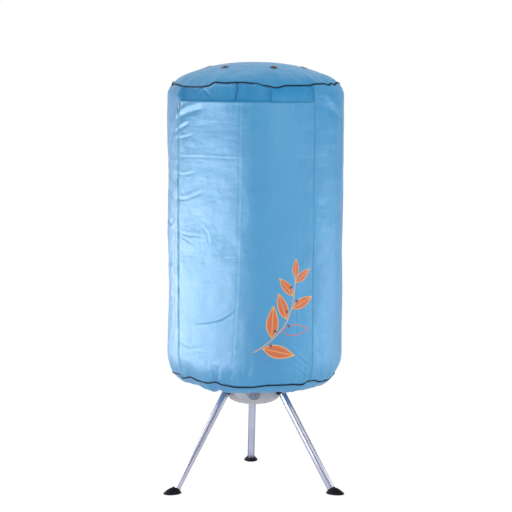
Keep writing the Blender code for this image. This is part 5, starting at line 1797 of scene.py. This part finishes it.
    def knob(self) -> Piece:
        """The knob with its finger grip and its pointer line."""
        back, front, bore = self.bezel_floor + self.gap, self.knob_front, self.shaft_radius + self.gap
        profile = [
            (0, front), (self.knob_crown - self.knob_bevel, front),
            (self.knob_crown, front - self.knob_bevel), (self.knob_radius, back + self.knob_skirt),
            (self.knob_radius, back), (bore, back),
            (bore, front - self.knob_wall), (0, front - self.knob_wall),
        ]
        knob = Bench.lathe("timer_knob_cap", profile, 96)
        grip = Bench.block(
            "grip", (-self.grip_width / 2, -self.grip_length / 2, self.knob_front - 0.0015),
            (self.grip_width / 2, self.grip_length / 2, self.knob_front + self.grip_height))
        Bench.soften(grip, 0.0012, 3)
        Bench.join(knob, grip)
        Bench.soften(knob, 0.0004, 2, 40)
        Bench.stand(knob, self.forward())
        settle(knob, Body.TIMER, Slot.KNOB, self.finishes.knob, "timer_knob")
        line = Bench.block(
            "timer_pointer", (-0.0008, self.grip_length * 0.12, self.knob_front + self.grip_height - 0.0002),
            (0.0008, self.grip_length * 0.46, self.knob_front + self.grip_height + 0.00025))
        Bench.soften(line, 0.0002, 1)
        Bench.stand(line, self.forward())
        return settle(line, Body.TIMER, Slot.KNOB, self.finishes.arm)

    def screws(self) -> None:
        """Cross-headed screws that hold the bowl, between the legs and the slots."""
        radius, top, sink = self.screw_radius, self.screw_head, self.screw_sink
        head = [(0, top), *arc((0, 0), (radius, top), 80, 0, 5), (radius, -sink), (0, -sink)]
        seed = Bench.lathe("bowl_screw_seed", head, 24)
        for turn in (0, math.pi / 2):
            cross = Bench.block("cross", (-0.0015, -0.0003, 0.0004), (0.0015, 0.0003, 0.002))
            Bench.cut(seed, Bench.stand(cross, Matrix.Rotation(turn, 4, "Z")))
        Bench.soften(seed, 0)
        reach = (self.radius - self.flat_radius, self.wall_low - self.bottom)
        angle = math.acos((self.screw_ring - self.flat_radius) / reach[0])
        height = self.wall_low - reach[1] * math.sin(angle)
        tilt = math.atan2(reach[1] * math.cos(angle), reach[0] * math.sin(angle))
        for i, degrees in enumerate((-38, 30, 150)):
            screw = Bench.copy(seed, f"bowl_screw_{i + 1}")
            place = turned(math.radians(degrees)) @ Matrix.Translation((self.screw_ring, 0, height))
            Bench.stand(screw, place @ Matrix.Rotation(math.pi - tilt, 4, "Y"))
            settle(screw, Body.FRAME, Slot.STEEL, self.finishes.fan)
        Bench.drop(seed)

    def make(self) -> None:
        """Build the housing's pieces and dress the ones kept from the CAD."""
        self.bowl()
        self.bezel()
        self.knob()
        self.screws()
        softened = {
            "base_drum": ("base_drum_shell", 0.0006, Slot.HOUSING, self.finishes.housing),
            "outlet_grille": ("outlet_grille_cast", 0.0004, Slot.HOUSING, self.finishes.housing),
            "mains_inlet": ("mains_inlet_gland", 0.0005, Slot.RUBBER, self.finishes.rubber),
            "heater_element": ("heater_element_block", 0.0004, Slot.CERAMIC, self.finishes.ceramic),
        }
        for node, (name, width, slot, material) in softened.items():
            settle(Bench.from_node(node, name, width), Body.FRAME, slot, material, node)


@dataclass
class Racks:
    """The mast with its coupler and cap, and the two racks of folding arms."""

    finishes: Finishes
    mast_radius: float = 0.0125
    mast_wall: float = 0.0015
    arms_per_rack: int = 6
    tube_edge: float = 0.0004
    moulding_edge: float = 0.0005
    arm_edge: float = 0.0006

    def mast(self) -> None:
        """The two tubes of the mast."""
        for node in ("mast_lower", "mast_upper"):
            low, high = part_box(node)
            outer, inner = self.mast_radius, self.mast_radius - self.mast_wall
            section = [(outer, high.z), (outer, low.z), (inner, low.z), (inner, high.z)]
            tube = Bench.lathe(f"{node}_tube", section, 48, closed=True)
            Bench.soften(tube, self.tube_edge)
            Bench.stand(tube, Matrix.Translation(AXIS))
            settle(tube, Body.FRAME, Slot.ALUMINIUM, self.finishes.aluminium, node)

    def make(self) -> None:
        """Build the mast and the racks."""
        self.mast()
        for node in ("mast_coupler", "mast_cap", "rack_hub_upper", "rack_hub_lower"):
            moulding = Bench.from_node(node, f"{node}_moulding", self.moulding_edge)
            settle(moulding, Body.FRAME, Slot.ARM, self.finishes.arm, node)
        for rack in ("upper", "lower"):
            for i in range(1, self.arms_per_rack + 1):
                node = f"rack_arm_{rack}_{i}"
                arm = Bench.from_node(node, f"{node}_moulding", self.arm_edge)
                settle(arm, f"arm_{rack}_{i}", Slot.ARM, self.finishes.arm, node)


@dataclass
class Innards:
    """The CAD pieces that stay as they are, with better finishes."""

    finishes: Finishes

    def make(self) -> None:
        """Give each kept node its finish."""
        kept = {
            self.finishes.steel: ("motor", "motor_bracket", "motor_shaft", "heater_frame", "timer_shaft"),
            self.finishes.brass: ("thermal_cutout",),
            self.finishes.fan: ("fan_rotor", "timer_body"),
        }
        for material, nodes in kept.items():
            for node in nodes:
                obj = FRAME["nodes"][node]
                if not obj.data.materials:
                    obj.data.materials.append(material)
                for i in range(len(obj.material_slots)):
                    obj.material_slots[i].material = material
                LOG.info("%s: dressed", node)


# Studio

@dataclass(frozen=True)
class Lamp:
    """A soft rectangular light that points at the dryer.

    Its azimuth is in degrees, its distances in metres and its power in watts. A reflector only shows as
    a sheen.
    """

    name: str
    azimuth: float
    reach: float
    height: float
    size: Pair
    power: float
    reflector: bool = True


@dataclass
class Studio:
    """A pale sweep of floor, a key light, three reflectors and the camera at the photograph's angle."""

    camera_azimuth: float = math.radians(-1.4)
    camera_distance: float = 5.5836
    camera_height: float = 1.446
    camera_tilt: float = math.radians(6.6418)
    camera_roll: float = math.radians(0.42)
    lens: float = 114.63
    sensor: float = 36
    shift: float = 0.003
    floor_size: float = 24
    floor_middle: Place = (0, 4, -0.0005)
    floor_paint: Colour = (0.86, 0.86, 0.87)
    floor_glow: float = 1.07
    floor_seen: float = 0.88
    floor_mirrored: float = 0.6
    light_target: float = 0.75
    lamps: tuple[Lamp, ...] = (
        Lamp("sheen_left", -97, 1.9, 0.42, (2.2, 1.0), 41),
        Lamp("sheen_front", -52, 2.3, 0.44, (2.2, 1.05), 38),
        Lamp("sheen_right", 88, 2.0, 0.45, (1.7, 0.9), 10),
        Lamp("key", 34, 2.8, 1.7, (1.6, 1.6), 11, reflector=False),
    )
    world_level: float = 0.89
    backdrop_edge: Pair = (0.2, 0.7)
    dim_level: float = 0.15
    dim_right: float = 0.6
    band_low: Pair = (0.3, 0.42)
    band_high: Pair = (0.66, 0.8)
    band_side: Pair = (0.12, 0.4)
    band_turn: Pair = (-0.3, 0.3)
    band_level: Pair = (1.00, 0.6)

    def camera(self) -> None:
        """Stand the camera in front of the dryer, a little above its cover."""
        data = bpy.data.cameras.new("camera")
        data.lens = self.lens
        data.sensor_width = self.sensor
        data.shift_x = self.shift
        data.clip_end = 2 * self.floor_size
        camera = Bench.put("camera", data)
        camera.location = around(self.camera_azimuth, self.camera_distance, self.camera_height)
        turn = Matrix.Rotation(self.camera_azimuth, 4, "Z")
        turn @= Matrix.Rotation(math.pi / 2 - self.camera_tilt, 4, "X")
        turn @= Matrix.Rotation(self.camera_roll, 4, "Z")
        camera.rotation_euler = turn.to_euler()
        bpy.context.scene.camera = camera

    def floor(self) -> None:
        """A pale floor that shows white and keeps the dryer's shadow."""
        Bench.clear()
        bpy.ops.mesh.primitive_grid_add(
            x_subdivisions=8, y_subdivisions=8, size=self.floor_size, location=self.floor_middle)
        floor = bpy.context.object
        floor.name = "studio_floor"
        graph = Graph("studio_floor")
        seen = graph.add("LightPath", output="Is Camera Ray")
        mirrored = graph.add("LightPath", output="Is Glossy Ray")
        paint = graph.add("BsdfDiffuse", inputs={"Color": (*self.floor_paint, 1)})
        glow = graph.add("Emission", inputs={"Color": (1, 1, 1, 1), "Strength": self.floor_glow})
        share = graph.maths("MAXIMUM", seen * self.floor_seen, mirrored * self.floor_mirrored)
        mixed = graph.add("MixShader", inputs={0: share, 1: paint, 2: glow})
        output = graph.tree.nodes["Material Output"]
        graph.tree.links.new(mixed.socket, output.inputs["Surface"])
        floor.data.materials.append(graph.material)

    def light(self, lamp: Lamp) -> None:
        """Hang a lamp and turn it to the dryer."""
        data = bpy.data.lights.new(lamp.name, "AREA")
        data.shape = "RECTANGLE"
        data.size, data.size_y = lamp.size
        data.energy = lamp.power
        light = Bench.put(lamp.name, data)
        light.location = around(math.radians(lamp.azimuth), lamp.reach, lamp.height)
        target = AXIS + Vector((0, 0, self.light_target))
        light.rotation_euler = (target - light.location).to_track_quat("-Z", "Y").to_euler()
        light.visible_diffuse = not lamp.reflector

    def world(self) -> None:
        """White all round at a plain level; reflections show a white backdrop and a band in a dimmer room."""
        world = bpy.data.worlds.new("studio")
        bpy.context.scene.world = world
        world.use_nodes = True
        graph = Graph.of_world(world)
        around = graph.add("TexCoord", output="Generated")
        across, behind, up = graph.split(around)
        right = graph.maths("MAXIMUM", across, 0.0)
        room = graph.span(behind - right * self.dim_right, *self.backdrop_edge, self.dim_level, 1.0)
        band = graph.span(up, *self.band_low) - graph.span(up, *self.band_high)
        band = band * graph.span(abs(across), *self.band_side)
        band = band * graph.span(across, *self.band_turn, *self.band_level)
        room = graph.maths("MAXIMUM", room, band)
        paths = {
            key: graph.add("LightPath", output=f"Is {key} Ray")
            for key in ("Camera", "Glossy", "Transmission")}
        level = graph.add("Mix", inputs={0: paths["Glossy"], 2: self.world_level, 3: room})
        seen = graph.maths("MAXIMUM", paths["Camera"], paths["Transmission"])
        level = graph.add("Mix", inputs={0: seen, 2: level, 3: 1.0})
        graph.dress({"Color": (1, 1, 1, 1)})
        graph.tree.links.new(level.socket, graph.shader.inputs["Strength"])

    def make(self) -> None:
        """Set the whole studio up."""
        self.camera()
        self.floor()
        self.world()
        for lamp in self.lamps:
            self.light(lamp)
        bpy.context.scene.view_settings.view_transform = "Standard"


def main() -> None:
    """Build the dryer's sub-assemblies in order."""
    logging.basicConfig(level=logging.INFO, format="%(name)s: %(message)s")
    Studio().make()
    finishes = Finishes()
    tripod = Tripod(finishes)
    tripod.make()
    Base(finishes, tripod).make()
    Racks(finishes).make()
    Cover(finishes).make()
    Innards(finishes).make()


if __name__ == "__main__":
    main()
